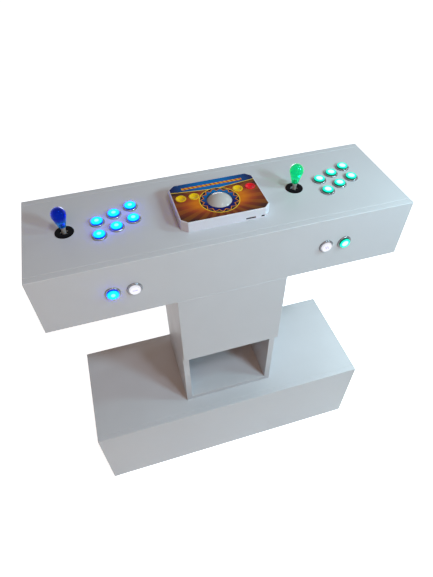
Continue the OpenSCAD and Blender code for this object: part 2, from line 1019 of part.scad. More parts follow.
// Opening for a connector in the upper shell's front wall
module port(x, w) {
    slab([x - w / 2, -unit_d / 2 - eps, port_z],
         [x + w / 2, unit_wall - unit_d / 2 + eps, port_z + port_h]);
}

// Connector whose nose stands in its port, with a mouth for the card or the plug
module connector(x, w, l) {
    difference() {
        union() {
            slab([x - w / 2, pcb_inset - unit_d / 2, pcb_z],
                 [x + w / 2, pcb_inset + l - unit_d / 2, port_z + port_h]);
            slab([x - w / 2 + slip, port_face - unit_d / 2, port_z + slip],
                 [x + w / 2 - slip, pcb_inset - unit_d / 2 + eps, port_z + port_h - slip]);
        }
        slab([x - w / 2 + mouth_wall, -unit_d / 2, port_z + mouth_wall],
             [x + w / 2 - mouth_wall, mouth_l - unit_d / 2, port_z + port_h - mouth_wall]);
    }
}

// Tub below the panel, with the flange that is screwed to the panel's underside
module trackball_base() {
    color(black_plastic)
        translate([0, unit_y, 0])
            difference() {
                union() {
                    translate([0, 0, under_z - flange_t])
                        linear_extrude(flange_t)
                            union() {
                                cut_rectangle(unit_w, unit_d, unit_corner);
                                square([unit_w + 2 * flange_out, flange_d], center = true);
                            }
                    translate([0, 0, tub_z])
                        linear_extrude(tub_h + eps)
                            cut_rectangle(unit_w, unit_d, unit_corner, -tub_inset);
                }
                difference() {
                    translate([0, 0, tub_floor_z])
                        linear_extrude(under_z - tub_floor_z + eps)
                            cut_rectangle(unit_w, unit_d, unit_corner, -tub_inset - tub_wall);
                    for (x = [-unit_boss_x, unit_boss_x], y = [-unit_boss_y, unit_boss_y])
                        translate([x, y, tub_floor_z - eps])
                            cylinder(d = unit_boss_d, h = under_z - tub_floor_z + 3 * eps);
                }
                translate([0, -unit_y, 0]) {
                    unit_screws(slip);
                    flange_screws(slip);
                }
            }
    // Tall posts that carry the circuit board
    color(black_plastic)
        translate([0, unit_y, 0])
            difference() {
                for (x = [-unit_boss_x, unit_boss_x], y = [-unit_boss_y, unit_boss_y])
                    translate([x, y, under_z - eps])
                        cylinder(d = unit_boss_d, h = pcb_z - under_z + eps);
                translate([0, -unit_y, 0])
                    unit_screws(slip);
            }
}

module trackball_overlay() {
    color("#3a4250")
        translate([0, unit_y, unit_z])
            difference() {
                linear_extrude(overlay_t)
                    cut_rectangle(unit_w, unit_d, unit_corner, -overlay_rim);
                translate([0, -ball_dy, -eps])
                    cylinder(r = ball_hole_top, h = overlay_t + 2 * eps);
                for (i = [0:3])
                    translate(key_at(i) - [0, unit_y, unit_z + eps])
                        cylinder(r = key_hole_r, h = overlay_t + 2 * eps);
            }
}

// Circuit board with the four key switches, the card slot and the small socket
module trackball_board() {
    color(circuit)
        translate([0, unit_y, 0])
            difference() {
                union() {
                    translate([0, 0, pcb_z])
                        linear_extrude(pcb_t)
                            cut_rectangle(unit_w, unit_d, unit_corner, -pcb_inset);
                    for (i = [0:3])
                        translate([key_at(i).x - key_switch_w / 2, key_dy - key_switch_w / 2, pcb_z])
                            cube([key_switch_w, key_switch_w, key_switch_top - pcb_z]);
                    connector(card_x, card_w, card_l);
                    connector(socket_x, socket_w, socket_l);
                }
                translate([0, -ball_dy, pcb_z - eps])
                    cylinder(r = ball_r + pcb_ball_room, h = unit_rise);
                translate([0, -unit_y, 0])
                    unit_screws(slip);
            }
}

// Plate with the roller posts and the fixed third support of the ball
module trackball_cradle() {
    color(black_plastic)
        translate([0, ball_y, 0])
            difference() {
                union() {
                    slab([-cradle_x, -cradle_y, tub_floor_z], [cradle_x, cradle_y, tub_floor_z + cradle_t]);
                    for (s = [-1, 1]) {
                        slab([s * post_at - post_t / 2, roller_out - post_w / 2, tub_floor_z],
                             [s * post_at + post_t / 2, roller_out + post_w / 2, roller_z + post_w / 2]);
                        slab([roller_out - post_w / 2, s * post_at - post_t / 2, tub_floor_z],
                             [roller_out + post_w / 2, s * post_at + post_t / 2, roller_z + post_w / 2]);
                    }
                    rotate(225) {
                        translate([pad_out, 0, tub_floor_z])
                            cylinder(d = pad_d, h = pad_z - tub_floor_z);
                        translate([pad_out, 0, pad_z])
                            sphere(d = pad_d);
                    }
                }
                translate([-spindle_l0, roller_out, roller_z])
                    rotate([0, 90, 0])
                        cylinder(d = spindle_d + 2 * run, h = 2 * spindle_l0);
                translate([roller_out, spindle_l0, roller_z])
                    rotate([90, 0, 0])
                        cylinder(d = spindle_d + 2 * run, h = 2 * spindle_l0);
            }
}

module trackball_ball() {
    color(white_plastic)
        translate([0, ball_y, ball_z])
            sphere(d = ball_d, $fn = 128);
}

// Roller along +Z from its encoder end, its middle at the origin
module roller() {
    color(steel) {
        translate([0, 0, -spindle_l0])
            cylinder(d = spindle_d, h = spindle_l0 + spindle_l1);
        translate([0, 0, -roller_l / 2])
            cylinder(d = roller_d, h = roller_l);
        translate([0, 0, -encoder_at])
            difference() {
                cylinder(d = encoder_d, h = encoder_t);
                for (i = [0:encoder_slots - 1])
                    rotate(360 * i / encoder_slots)
                        translate([encoder_slot_r0, -drive_w / 2, -eps])
                            cube([encoder_slot_l, drive_w, encoder_t + 2 * eps]);
            }
    }
}

module trackball_roller_x() {
    translate([0, ball_y + roller_out, roller_z])
        rotate([0, 90, 0])
            roller();
}

module trackball_roller_y() {
    translate([roller_out, ball_y, roller_z])
        rotate([-90, 0, 0])
            roller();
}

// Cap with a flat rim round a bowl, and an inner flange that keeps it in the shell
module trackball_key(i) {
    under = -unit_top_t - seat;
    top = overlay_t + key_rise;
    bowl_r = key_r - key_rim;
    color(i < 3 ? "#f2c21b" : "#d62f2a")
        translate(key_at(i))
            rotate_extrude()
                polygon(concat(
                    [[0, -unit_top_t - key_stem_l], [key_stem_d / 2, -unit_top_t - key_stem_l],
                     [key_stem_d / 2, under - key_flange_t], [key_r + key_flange, under - key_flange_t],
                     [key_r + key_flange, under], [key_r, under]],
                    [for (a = [0:22.5:90])
                        [key_r - key_edge + key_edge * cos(a), top - key_edge + key_edge * sin(a)]],
                    [for (q = [1:-0.125:0])
                        [bowl_r * q, top - key_bowl * (1 - q * q)]]));
}

// Electronics

// Circuit board with heat sink and loom connector, on four spacers
module game_board() {
    color(circuit) {
        translate([game_x, game_y, game_z])
            difference() {
                union() {
                    translate([-game_w / 2, -game_d / 2, 0])
                        cube([game_w, game_d, pcb_t]);
                    translate([-sink_w / 2, -sink_w / 2, 0])
                        cube([sink_w, sink_w, pcb_t + sink_fin_t * 2]);
                    for (y = spread(sink_fins, -sink_w / 2, sink_w / 2 - sink_fin_t))
                        translate([-sink_w / 2, y, 0])
                            cube([sink_w, sink_fin_t, pcb_t + sink_h]);
                    translate([loom_plug_x - game_x - loom_plug_w / 2, game_d / 2 - loom_plug_d, 0])
                        cube([loom_plug_w, loom_plug_d, loom_plug_h]);
                }
                translate([-game_x, -game_y, -game_z])
                    game_screws(slip);
            }
        difference() {
            for (x = [-game_hole_x, game_hole_x], y = [-game_hole_y, game_hole_y])
                translate([game_x + x, game_y + y, deck_z])
                    cylinder(d = spacer_d, h = spacer_h - slip);
            game_screws(slip);
        }
    }
}

// Trunk under the panel with branches to both sticks, the trackball unit, the game board and the inlet
module wiring_loom() {
    plug_y = face_y + stick_from_face + housing_d / 2 + plug_d;
    board_y = game_y + game_d / 2;
    board_z = game_z + loom_plug_h / 2;
    inlet_z = top_z - inlet_drop;
    inlet_y = inner_y1 + board - inlet_l;
    tub_y = unit_y + unit_d / 2 - tub_inset;
    lead_z = loom_z - unit_lead_drop;
    end = trunk_d;
    color(cable_jacket) {
        cable([stick_at(-1).x - end, loom_y, loom_z], [stick_at(1).x + end, loom_y, loom_z], trunk_d);
        for (side = [-1, 1])
            cable([stick_at(side).x, plug_y, loom_z], [stick_at(side).x, loom_y, loom_z], branch_d);
        cable([loom_plug_x, loom_y, board_z], [loom_plug_x, loom_y, loom_z], branch_d);
        cable([loom_plug_x, board_y, board_z], [loom_plug_x, loom_y, board_z], branch_d);
        cable([unit_lead_x, loom_y, lead_z], [unit_lead_x, loom_y, loom_z], branch_d);
        cable([unit_lead_x, tub_y, lead_z], [unit_lead_x, loom_y, lead_z], branch_d);
        cable([inlet_x, loom_y, inlet_z], [inlet_x, loom_y, loom_z], branch_d);
        cable([inlet_x, loom_y, inlet_z], [inlet_x, inlet_y, inlet_z], branch_d);
        for (p = [[loom_plug_x, board_z], [unit_lead_x, lead_z], [inlet_x, inlet_z]])
            translate([p.x, loom_y, p.y])
                sphere(d = bend_d);
    }
}

// Low-voltage jack in the rear panel, with its nut inside
module power_inlet() {
    color(black_plastic)
        translate([inlet_x, inner_y1 + board, top_z - inlet_drop])
            rotate([-90, 0, 0]) {
                difference() {
                    union() {
                        cylinder(d = inlet_flange_d, h = inlet_flange_t);
                        translate([0, 0, -inlet_l])
                            cylinder(d = inlet_d, h = inlet_l + eps);
                    }
                    translate([0, 0, inlet_flange_t - inlet_bore_l])
                        cylinder(d = inlet_bore_d, h = inlet_bore_l + eps);
                }
                translate([0, 0, inlet_flange_t - inlet_bore_l - eps])
                    cylinder(d = inlet_pin_d, h = inlet_bore_l - eps);
                difference() {
                    translate([0, 0, -board - inlet_nut_h])
                        cylinder(d = inlet_nut_d, h = inlet_nut_h, $fn = 6);
                    translate([0, 0, -board - inlet_nut_h - eps])
                        cylinder(d = inlet_d + 2 * slip, h = inlet_nut_h + 2 * eps);
                }
            }
}

top_panel();
front_panel();
rear_panel();
box_ends();
box_floor();
column_sides();
column_front();
column_back();
column_shelf();
base_top();
base_long_board(-1);  // base_front
base_long_board(1);  // base_back
base_ends();
base_floor();
box_joint_dowels();
stand_joint_dowels();
screws();
stick_plates();
stick_housings();
dust_washers();
pivot_ring(-1);  // pivot_ring_p1
pivot_ring(1);  // pivot_ring_p2
stick_shaft(-1);  // stick_shaft_p1
stick_shaft(1);  // stick_shaft_p2
bat_top(-1);  // bat_top_p1
bat_top(1);  // bat_top_p2
button_bezels();
button_nuts();
button_switches();
for (i = [0:5]) top_plunger(-1, i);
for (i = [0:5]) top_plunger(1, i);
front_plunger(0);  // p1_side_button
front_plunger(1);  // p1_start_button
front_plunger(2);  // p2_start_button
front_plunger(3);  // p2_side_button
trackball_housing();
trackball_base();
trackball_overlay();
trackball_board();
trackball_cradle();
trackball_ball();
trackball_roller_x();
trackball_roller_y();
for (i = [0:3]) trackball_key(i);
game_board();
wiring_loom();
power_inlet();
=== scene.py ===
"""Looks of the two-player arcade cabinet, built round its packed CAD model.

Metres, in the CAD frame: the floor is z = 0, the player stands on the -Y side, x = 0 is the middle.
"""

import json
import math
from itertools import combinations

import bmesh
import bpy
import numpy as np
from bpy.props import FloatProperty, FloatVectorProperty, PointerProperty
from mathutils import Matrix, Vector


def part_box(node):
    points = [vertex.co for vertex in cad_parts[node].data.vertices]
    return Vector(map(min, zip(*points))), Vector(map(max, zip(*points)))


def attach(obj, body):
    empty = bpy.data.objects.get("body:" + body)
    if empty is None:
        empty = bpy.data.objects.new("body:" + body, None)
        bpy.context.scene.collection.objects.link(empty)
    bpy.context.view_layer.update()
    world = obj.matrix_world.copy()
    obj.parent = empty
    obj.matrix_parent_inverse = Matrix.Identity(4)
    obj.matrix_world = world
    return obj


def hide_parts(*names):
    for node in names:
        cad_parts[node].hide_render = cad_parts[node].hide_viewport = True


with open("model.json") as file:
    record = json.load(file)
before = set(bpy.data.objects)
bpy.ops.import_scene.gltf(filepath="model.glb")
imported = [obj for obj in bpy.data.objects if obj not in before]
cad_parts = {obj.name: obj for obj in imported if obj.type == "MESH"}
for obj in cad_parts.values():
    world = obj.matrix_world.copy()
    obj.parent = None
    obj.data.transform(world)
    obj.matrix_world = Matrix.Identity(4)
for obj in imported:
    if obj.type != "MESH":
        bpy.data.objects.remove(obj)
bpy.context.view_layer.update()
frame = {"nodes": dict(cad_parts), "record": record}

bl_info = {
    "name": "Arcade cabinet dressing",
    "version": (1, 0, 0),
    "blender": (4, 5, 0),
    "location": "View3D > Sidebar > Cabinet",
    "description": "Boards, lit buttons, joysticks and trackball unit of a two-player arcade cabinet",
    "category": "Object",
}

MM = 0.001
NEAR = 1e-5  # metres within which a point lies on a face
TOUCHING = 1e-7  # metres within which two points of a new mesh are one
FIT = 0.05  # millimetres of room between a stick's shaft and what is pressed on it
SHARP = 32  # degrees between two faces from which their edge stays crisp
NOISE_SPAN = (0.3, 0.7)  # most of a noise lies between these
CABINET = "cabinet"

BOX_BOARDS = ("top_panel", "front_panel", "rear_panel", "box_ends", "box_floor")
COLUMN_BOARDS = ("column_sides", "column_front", "column_back", "column_shelf")
PLINTH_BOARDS = ("base_top", "base_front", "base_back", "base_ends", "base_floor")
PAIRED_BOARDS = ("box_ends", "base_ends", "column_sides")
TOP_BUTTONS = [f"p{player}_button_{i}" for player in (1, 2) for i in range(1, 7)]
FRONT_BUTTONS = ["p1_side_button", "p1_start_button", "p2_start_button", "p2_side_button"]
KEYS = [f"trackball_key_{i}" for i in range(1, 5)]


def linear(code):
    """Linear RGBA of an sRGB hex colour."""
    srgb = np.array([int(code[i:i + 2], 16) for i in (1, 3, 5)]) / 255
    rgb = np.where(srgb <= 0.04045, srgb / 12.92, ((srgb + 0.055) / 1.055) ** 2.4)
    return (*(float(c) for c in rgb), 1.0)


def colour(name, description, code):
    """A colour setting whose default is an sRGB hex value."""
    return FloatVectorProperty(
        name=name, description=description, subtype="COLOR", size=4, min=0, max=1,
        default=linear(code))


def length(name, description, millimetres):
    """A length setting, given in millimetres and kept in metres."""
    return FloatProperty(
        name=name, description=description, default=millimetres * MM, unit="LENGTH",
        subtype="DISTANCE", min=0, precision=4)


def power(name, lamp, watts):
    """A lamp's power setting."""
    return FloatProperty(
        name=name, description="Power of the " + lamp, default=watts, unit="POWER", min=0)


def share(name, description, part):
    """A setting between 0 and 1."""
    return FloatProperty(
        name=name, description=description, default=part, subtype="FACTOR", min=0, max=1)


class BoardSettings(bpy.types.PropertyGroup):
    """Lacquered boards of the three boxes."""

    paint: colour("Lacquer", "Colour of the satin lacquer", "#bdc0c8")
    edge: length("Outer edge", "Rounding of the boards' outer edges", 1.6)
    seam: length("Seam edge", "Rounding where two boards meet", 0.8)


class ButtonSettings(bpy.types.PropertyGroup):
    """Lit push buttons."""

    cyan: colour("First player", "Light of the first player's buttons", "#00ffff")
    # The foot colours are painted shade: the dim glow of a plunger's side at the bezel, below the bright
    # top
    blue: colour("First player's foot", "Light at the foot of the first player's buttons", "#120068")
    mint: colour("Second player", "Light of the second player's buttons", "#00f4e4")
    green: colour("Second player's foot", "Light at the foot of the second player's buttons", "#005c38")
    white: colour("Start", "Light of the start buttons", "#f6f6ff")
    marks: colour("Start marks", "Ink of the bars on the start buttons", "#a496e4")
    glow: FloatProperty(
        name="Glow", description="How much stronger the first player's buttons shine in blue",
        default=24.0, min=0)
    bezel_radius: length("Bezel radius", "Outer radius of the plated bezel", 18)
    bezel_height: length("Bezel height", "Height of the bezel above the panel", 3.2)
    barrel_radius: length("Barrel radius", "Outer radius of the bezel's barrel", 14.9)
    plunger_radius: length("Plunger radius", "Radius of the lit plunger", 13.5)
    room: length("Room", "Gap between the plunger and the bezel's bore", 0.4)


class StickSettings(bpy.types.PropertyGroup):
    """Joysticks."""

    left: colour("First bat top", "Tint of the first player's bat top", "#0016ce")
    left_foot: colour("First bat foot", "Tint of the first player's bat top at its foot", "#19aaf9")
    left_sheen: colour("First bat sheen", "Colour that the first bat top reflects", "#3f7cff")
    left_clear: share("First bat clear", "Share of light that the first bat top lets through", 0.95)
    right: colour("Second bat top", "Tint of the second player's bat top", "#00ff9c")
    right_foot: colour("Second bat foot", "Tint of the second player's bat top at its foot", "#00f9bc")
    right_sheen: colour("Second bat sheen", "Colour that the second bat top reflects", "#6cffe0")
    right_clear: share("Second bat clear", "Share of light that the second bat top lets through", 0.8)
    washer_radius: length("Washer radius", "Outer radius of the dust washer", 22)
    washer_hole: length("Washer hole", "Radius of the hole in the dust washer", 9.21)
    shaft_radius: length("Shaft radius", "Radius of the steel shaft", 4.75)
    shoulder_radius: length("Shoulder radius", "Radius of the shaft's shoulder under the bat top", 6.5)
    bat_foot: length("Bat foot radius", "Radius of the bat top at its foot", 8.75)
    bat_wide: length("Widest place", "Height of the widest place above the foot", 33)


class TrackballSettings(bpy.types.PropertyGroup):
    """Trackball unit."""

    shell: colour("Shell", "Colour of the moulded shell", "#d2d2de")
    yellow: colour("Yellow keys", "Colour of the first three keys", "#dcb406")
    red: colour("Red key", "Colour of the fourth key", "#d80a20")
    edge: length("Shell edge", "Rounding of the shell's upper edge", 1.6)
    key_rim: length("Key rim", "Width of the flat rim round a key's bowl", 2.8)
    key_bowl: length("Key bowl", "Depth of the bowl in a key", 3.4)


class StageSettings(bpy.types.PropertyGroup):
    """Floor, light and camera."""

    camera: FloatVectorProperty(
        name="Camera", description="Place of the camera", subtype="TRANSLATION", unit="LENGTH",
        size=3, default=(-0.25143, -0.83253, 1.64809))
    direction: FloatVectorProperty(
        name="Direction", description="Way that the camera looks", subtype="DIRECTION", size=3,
        default=(0.18995, 0.64498, -0.74022))
    roll: FloatProperty(
        name="Roll", description="Turn of the camera about its own axis", subtype="ANGLE",
        default=math.radians(-0.705))
    lens: FloatProperty(
        name="Focal length", description="Focal length on a 36 mm sensor", default=27.465,
        unit="CAMERA", min=1)
    ambient: FloatProperty(
        name="Ambient", description="Strength of the even light from all round", default=0.13, min=0)
    front: power("Front lamp", "lamp at the front right", 16.8)
    right: power("Right lamp", "lamp at the right", 5.0)
    side: power("Side lamp", "low lamp over the plinth", 2.4)
    rear_right: power("Rear right lamp", "lamp at the rear right", 2.0)
    far: power("Far lamp", "far lamp at the front", 295)
    fill: power("Front fill", "broad lamp at the front left", 10)
    low_fill: power("Low fill", "low lamp at the left", 1.0)
    rear_fill: power("Rear fill", "low lamp behind the cabinet", 44)
    floor_size: FloatProperty(
        name="Floor", description="Width of the floor", default=14, unit="LENGTH", min=1)
    floor_white: share("Floor white", "Light that the floor adds where it is looked at", 0.9)


# Meshes


def patch(points, closed=True, v=None, material=0):
    """One grid surface: points[i, j], joined along i and along j, and round j where it is closed.

    Its UV map runs 0 to 1 round j, and takes v[i] along i.
    """
    rows, columns = points.shape[:2]
    spans = columns if closed else columns - 1
    i, j = np.meshgrid(np.arange(rows - 1), np.arange(spans), indexing="ij")
    v = np.linspace(0, 1, rows) if v is None else np.asarray(v, float)
    u = np.arange(spans + 1) / spans
    corners = ((0, 0), (0, 1), (1, 1), (1, 0))
    quads = np.stack([(i + a) * columns + (j + b) % columns for a, b in corners], -1)
    uv = np.stack([np.stack([u[j + b], v[i + a]], -1) for a, b in corners], -2)
    return {
        "points": points.reshape(-1, 3), "quads": quads.reshape(-1, 4),
        "uv": uv.reshape(-1, 2), "material": np.full(quads[..., 0].size, material)}


def turned(profile, at, axis="Z", steps=64, v=None, material=0):
    """Surface of revolution: a profile of (radius, height) in millimetres swept round an axis.

    A point is (r cos t, r sin t, h), with h along Z, along X, along Y or along -Y, moved to at (metres).
    """
    profile = np.asarray(profile, float) * MM
    t = np.arange(steps) * (2 * np.pi / steps)
    across = profile[:, :1] * np.cos(t)
    along = profile[:, :1] * np.sin(t)
    high = np.repeat(profile[:, 1:], steps, axis=1)
    order = {"Z": (across, along, high), "X": (high, across, along),
             "Y": (along, high, across), "-Y": (across, -high, along)}[axis]
    return patch(np.stack(order, -1) + np.asarray(at), v=v, material=material)


def tube(path, radius, steps=12):
    """Round wire: a circle carried along a path, in the plane square to the path at each point.

    The frame is the path's tangent, its cross product with Z, and the third axis square to both.
    """
    tangent = np.gradient(path, axis=0)
    tangent /= np.linalg.norm(tangent, axis=1, keepdims=True)
    side = np.cross(tangent, [0, 0, 1.0])
    side /= np.linalg.norm(side, axis=1, keepdims=True)
    third = np.cross(side, tangent)
    t = np.arange(steps) * (2 * np.pi / steps)
    ring = side[:, None] * np.cos(t)[:, None] + third[:, None] * np.sin(t)[:, None]
    points = path[:, None] + ring * radius
    ends = [np.repeat(p[None, None], steps, axis=1) for p in (path[0], path[-1])]
    return patch(np.concatenate([ends[0], points, ends[1]]))


def post(lo, hi, corner):
    """Upright bar: a rounded rectangle carried up Z from lo to hi (metres), closed at both ends."""
    middle = (lo + hi) / 2
    x, y = (hi - lo)[:2] / 2 - corner
    corners = ((x, y), (-x, y), (-x, -y), (x, -y))
    outline = middle[:2] + np.concatenate([
        arc(*at, corner, corner, 90 * i, 90 * i + 90, 5) for i, at in enumerate(corners)])
    centre = np.repeat(middle[None, :2], len(outline), axis=0)
    rings = [(centre, lo[2]), (outline, lo[2]), (outline, hi[2]), (centre, hi[2])]
    return patch(np.stack([np.column_stack([ring, np.full(len(ring), z)]) for ring, z in rings]))


def arc(r, z, across, up, start, end, steps):
    """Part of an ellipse: (r + across cos a, z + up sin a) from start to end, in degrees."""
    a = np.radians(np.linspace(start, end, steps))
    return np.column_stack([r + across * np.cos(a), z + up * np.sin(a)])


def piece(name, patches, materials, slot, body, stands_for):
    """A mesh object from grid patches: poles and seams merged, faces outwards, smooth up to an angle."""
    def joined(key):
        return np.concatenate([p[key] for p in patches])

    offsets = np.cumsum([0] + [len(p["points"]) for p in patches])
    quads = np.concatenate([p["quads"] + o for p, o in zip(patches, offsets)])
    mesh = bpy.data.meshes.new(name)
    mesh.from_pydata(joined("points").tolist(), [], quads.tolist())
    layer = mesh.uv_layers.new(name="UVMap")
    layer.data.foreach_set("uv", joined("uv").astype(np.float32).ravel())
    mesh.polygons.foreach_set("material_index", joined("material").astype(np.int32))
    work = bmesh.new()
    work.from_mesh(mesh)
    bmesh.ops.remove_doubles(work, verts=work.verts, dist=TOUCHING)
    bmesh.ops.dissolve_degenerate(work, edges=work.edges, dist=TOUCHING)
    bmesh.ops.recalc_face_normals(work, faces=work.faces)
    work.to_mesh(mesh)
    work.free()
    finish_piece(name, mesh, materials, slot, body, stands_for)


def show(name, data):
    """A new object in the scene, at the origin."""
    made = bpy.data.objects.new(name, data)
    bpy.context.scene.collection.objects.link(made)
    return made


def finish_piece(name, mesh, materials, slot, body, stands_for):
    """Shows a mesh with its materials on its body, and hides the CAD nodes it stands for. The slot is not
    used.
    """
    mesh.polygons.foreach_set("use_smooth", np.ones(len(mesh.polygons), bool))
    mesh.set_sharp_from_angle(angle=math.radians(SHARP))
    mesh.materials.clear()
    for material in materials:
        mesh.materials.append(material)
    made = show(name, mesh)
    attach(made, body)
    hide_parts(*stands_for)
    return made


def merged_copy(node):
    """A CAD node's mesh as one welded surface: doubles merged and flat triangles joined to whole faces."""
    weld, flat = 2e-6, math.radians(0.3)
    mesh = frame["nodes"][node].data.copy()
    mesh.name = node + "_shape"
    work = bmesh.new()
    work.from_mesh(mesh)
    bmesh.ops.remove_doubles(work, verts=work.verts, dist=weld)
    bmesh.ops.dissolve_limit(work, angle_limit=flat, verts=work.verts, edges=work.edges)
    work.to_mesh(mesh)
    work.free()
    # The stored normals belong to the triangles before they were joined
    if mesh.has_custom_normals:
        mesh.attributes.remove(mesh.attributes["custom_normal"])
    return mesh


def edge_ends(mesh):
    """Both ends of every edge, as two arrays of points."""
    points = np.array([vertex.co for vertex in mesh.vertices], float)
    ends = np.array([edge.vertices[:] for edge in mesh.edges])
    return points[ends[:, 0]], points[ends[:, 1]]


def round_edges(made, weights, width, segments=3):
    """Rounds the weighted edges with a Bevel modifier of that full width."""
    attribute = made.data.attributes.new("bevel_weight_edge", "FLOAT", "EDGE")
    attribute.data.foreach_set("value", weights.astype(np.float32))
    bevel = made.modifiers.new("Rounded edges", "BEVEL")
    bevel.limit_method = "WEIGHT"
    bevel.width = width
    bevel.segments = segments
    bevel.loop_slide = False
    bevel.harden_normals = True


# Materials


def plug(node, inputs):
    """Fills a node's inputs: a socket is linked, and anything else is set as the value."""
    for key, value in inputs.items():
        if isinstance(value, bpy.types.NodeSocket):
            node.id_data.links.new(value, node.inputs[key])
        else:
            node.inputs[key].default_value = value


def add(tree, kind, inputs=(), **settings):
    """Adds one shader node with its settings and its inputs (values or sockets to link)."""
    made = tree.nodes.new("ShaderNode" + kind)
    for name, value in settings.items():
        setattr(made, name, value)
    plug(made, dict(inputs))
    return made


def ramp(tree, value, stops):
    """A value as a colour, by stops of (place, colour). A new ramp has two stops to start with."""
    made = add(tree, "ValToRGB", {"Fac": value})
    ready = made.color_ramp.elements
    for i, (place, tone) in enumerate(stops):
        stop = ready[i] if i < 2 else ready.new(place)
        stop.position = place
        stop.color = tone
    return made.outputs["Color"]


def ranged(tree, value, low, high, to_low=0.0, to_high=1.0):
    """A value between low and high, moved to lie between two others."""
    return add(tree, "MapRange", {
        "Value": value, "From Min": low, "From Max": high, "To Min": to_low, "To Max": to_high,
    }).outputs["Result"]


def axes(tree, vector):
    """The X, Y and Z of a vector."""
    return add(tree, "SeparateXYZ", {"Vector": vector}).outputs


def calculator(tree):
    """Shorthand for a tree's Math nodes: calc(operation, a, b, c) gives the result's socket."""
    def calc(operation, a, b=0.0, c=0.0):
        return add(tree, "Math", {0: a, 1: b, 2: c}, operation=operation).outputs["Value"]
    return calc


def over(tree, mask, below, above):
    """One colour laid over another by a mask."""
    return add(tree, "Mix", {"Factor": mask, 6: below, 7: above}, data_type="RGBA").outputs[2]


def looked_at(tree):
    """1 where the camera, a mirror or clear plastic sees a surface, and 0 where it only lights others."""
    calc = calculator(tree)
    rays = add(tree, "LightPath").outputs
    direct = calc("MAXIMUM", rays["Is Camera Ray"], rays["Is Glossy Ray"])
    return calc("MAXIMUM", direct, rays["Is Transmission Ray"])


def new_material(name):
    """An empty node material: itself, its tree, its Principled shader and the Object coordinates."""
    made = bpy.data.materials.new(name)
    made.use_nodes = True
    tree = made.node_tree
    tree.nodes.clear()
    shader = add(tree, "BsdfPrincipled")
    add(tree, "OutputMaterial", {"Surface": shader.outputs["BSDF"]})
    return made, tree, shader, add(tree, "TexCoord").outputs["Object"]


def noise(tree, place, size, detail=2.0):
    """A noise of that feature size, in metres."""
    return add(tree, "TexNoise", {"Vector": place, "Scale": 1 / size, "Detail": detail}).outputs["Fac"]


def tones(tree, cloud, low, high):
    """A noise as a colour that runs from one tone to another."""
    return ramp(tree, cloud, zip(NOISE_SPAN, (low, high)))


def shade(tone, factor):
    """A linear colour made lighter or darker."""
    return (*(min(1.0, c * factor) for c in tone[:3]), 1.0)


def grain_finish(name, tone, spread, mottle, grain, depth, rough, vary=0.06, **sockets):
    """A moulded, painted or plated finish: mottled tone, uneven gloss and a fine grain in the surface.

    spread is the tone's share of change over the mottle's size, and the grain has a size and a depth.
    """
    made, tree, shader, place = new_material(name)
    cloud = noise(tree, place, mottle, 3.0)
    bump = add(tree, "Bump", {"Height": noise(tree, place, grain), "Distance": depth, "Strength": 1.0})
    plug(shader, {
        "Base Color": tones(tree, cloud, shade(tone, 1 - spread), shade(tone, 1 + spread)),
        "Roughness": ranged(tree, cloud, *NOISE_SPAN, rough - vary, rough + vary),
        "Normal": bump.outputs["Normal"]})
    plug(shader, {key.replace("_", " "): value for key, value in sockets.items()})
    return made


def satin_lacquer(paint):
    """Rolled satin lacquer on fibreboard: an even cool grey with a faint orange peel that softens gloss.

    The real peel is about 1 mm across; it is drawn at 3 mm so that it shows.
    """
    return grain_finish(
        "satin_lacquer", paint, spread=0.02, mottle=0.12, grain=0.003, depth=2e-5, rough=0.42,
        Specular_IOR_Level=0.4)


def chrome_plate():
    """Chrome on moulded plastic, toned down as a painted dark reflection, with faint haze where fingers
    have been.
    """
    # The low tone #76787e is painted dark reflection: it makes chrome that sees a white surround look as
    # if it mirrored a dark room
    return grain_finish(
        "chrome_plate", linear("#76787e"), spread=0.06, mottle=0.01, grain=0.004, depth=2e-6,
        rough=0.09, vary=0.03, Metallic=1.0)


def zinc_plate():
    """Zinc-plated steel: pale grey, softly blurred, with a crystal mottle about 2 mm across."""
    return grain_finish(
        "zinc_plate", linear("#b6babf"), spread=0.12, mottle=0.002, grain=0.0008, depth=4e-6,
        rough=0.34, vary=0.08, Metallic=1.0)


def turned_steel():
    """Turned steel with a satin plating: a soft bright streak, broken by lathe rings 0.5 mm apart.

    A wave's bands lie 2 pi / (20 scale) apart.
    """
    made, tree, shader, place = new_material("turned_steel")
    rings = add(tree, "TexWave", {"Vector": place, "Scale": 628.0, "Distortion": 1.0, "Detail": 2.0},
                bands_direction="Z").outputs["Fac"]
    bump = add(tree, "Bump", {"Height": rings, "Distance": 1e-5, "Strength": 0.6})
    plug(shader, {
        "Base Color": ramp(tree, rings, [(0.0, linear("#b4b0ac")), (1.0, linear("#d8d5d2"))]),
        "Normal": bump.outputs["Normal"], "Metallic": 0.6, "Roughness": 0.36})
    return made


def black_plastic():
    """Moulded black plastic: charcoal with a fine spark-eroded grain that greys the light it catches."""
    return grain_finish(
        "moulded_black_plastic", linear("#08080c"), spread=0.2, mottle=0.02, grain=0.0008, depth=3e-5,
        rough=0.5, Specular_IOR_Level=0.03)


def white_plastic(tone):
    """Moulded white ABS: cool white, half gloss, with a very fine mould grain."""
    return grain_finish(
        "moulded_white_abs", tone, spread=0.012, mottle=0.04, grain=0.0009, depth=1.2e-5, rough=0.34,
        Subsurface_Weight=0.08, Subsurface_Scale=0.002)


def key_plastic(name, tone):
    """Glossy moulded ABS of a key cap: deep even colour with a clear sheen."""
    return grain_finish(
        name, tone, spread=0.03, mottle=0.012, grain=0.0012, depth=6e-6, rough=0.2,
        Specular_IOR_Level=0.12, Coat_Weight=0.03, Coat_Roughness=0.08)


def cast_resin():
    """Cast and polished phenolic resin of the ball: white, half gloss, with a trace of cloud."""
    return grain_finish(
        "polished_white_resin", linear("#b0b0b2"), spread=0.015, mottle=0.02, grain=0.006, depth=4e-6,
        rough=0.2, vary=0.03, Specular_IOR_Level=0.2, Coat_Weight=0.05, Coat_Roughness=0.1)


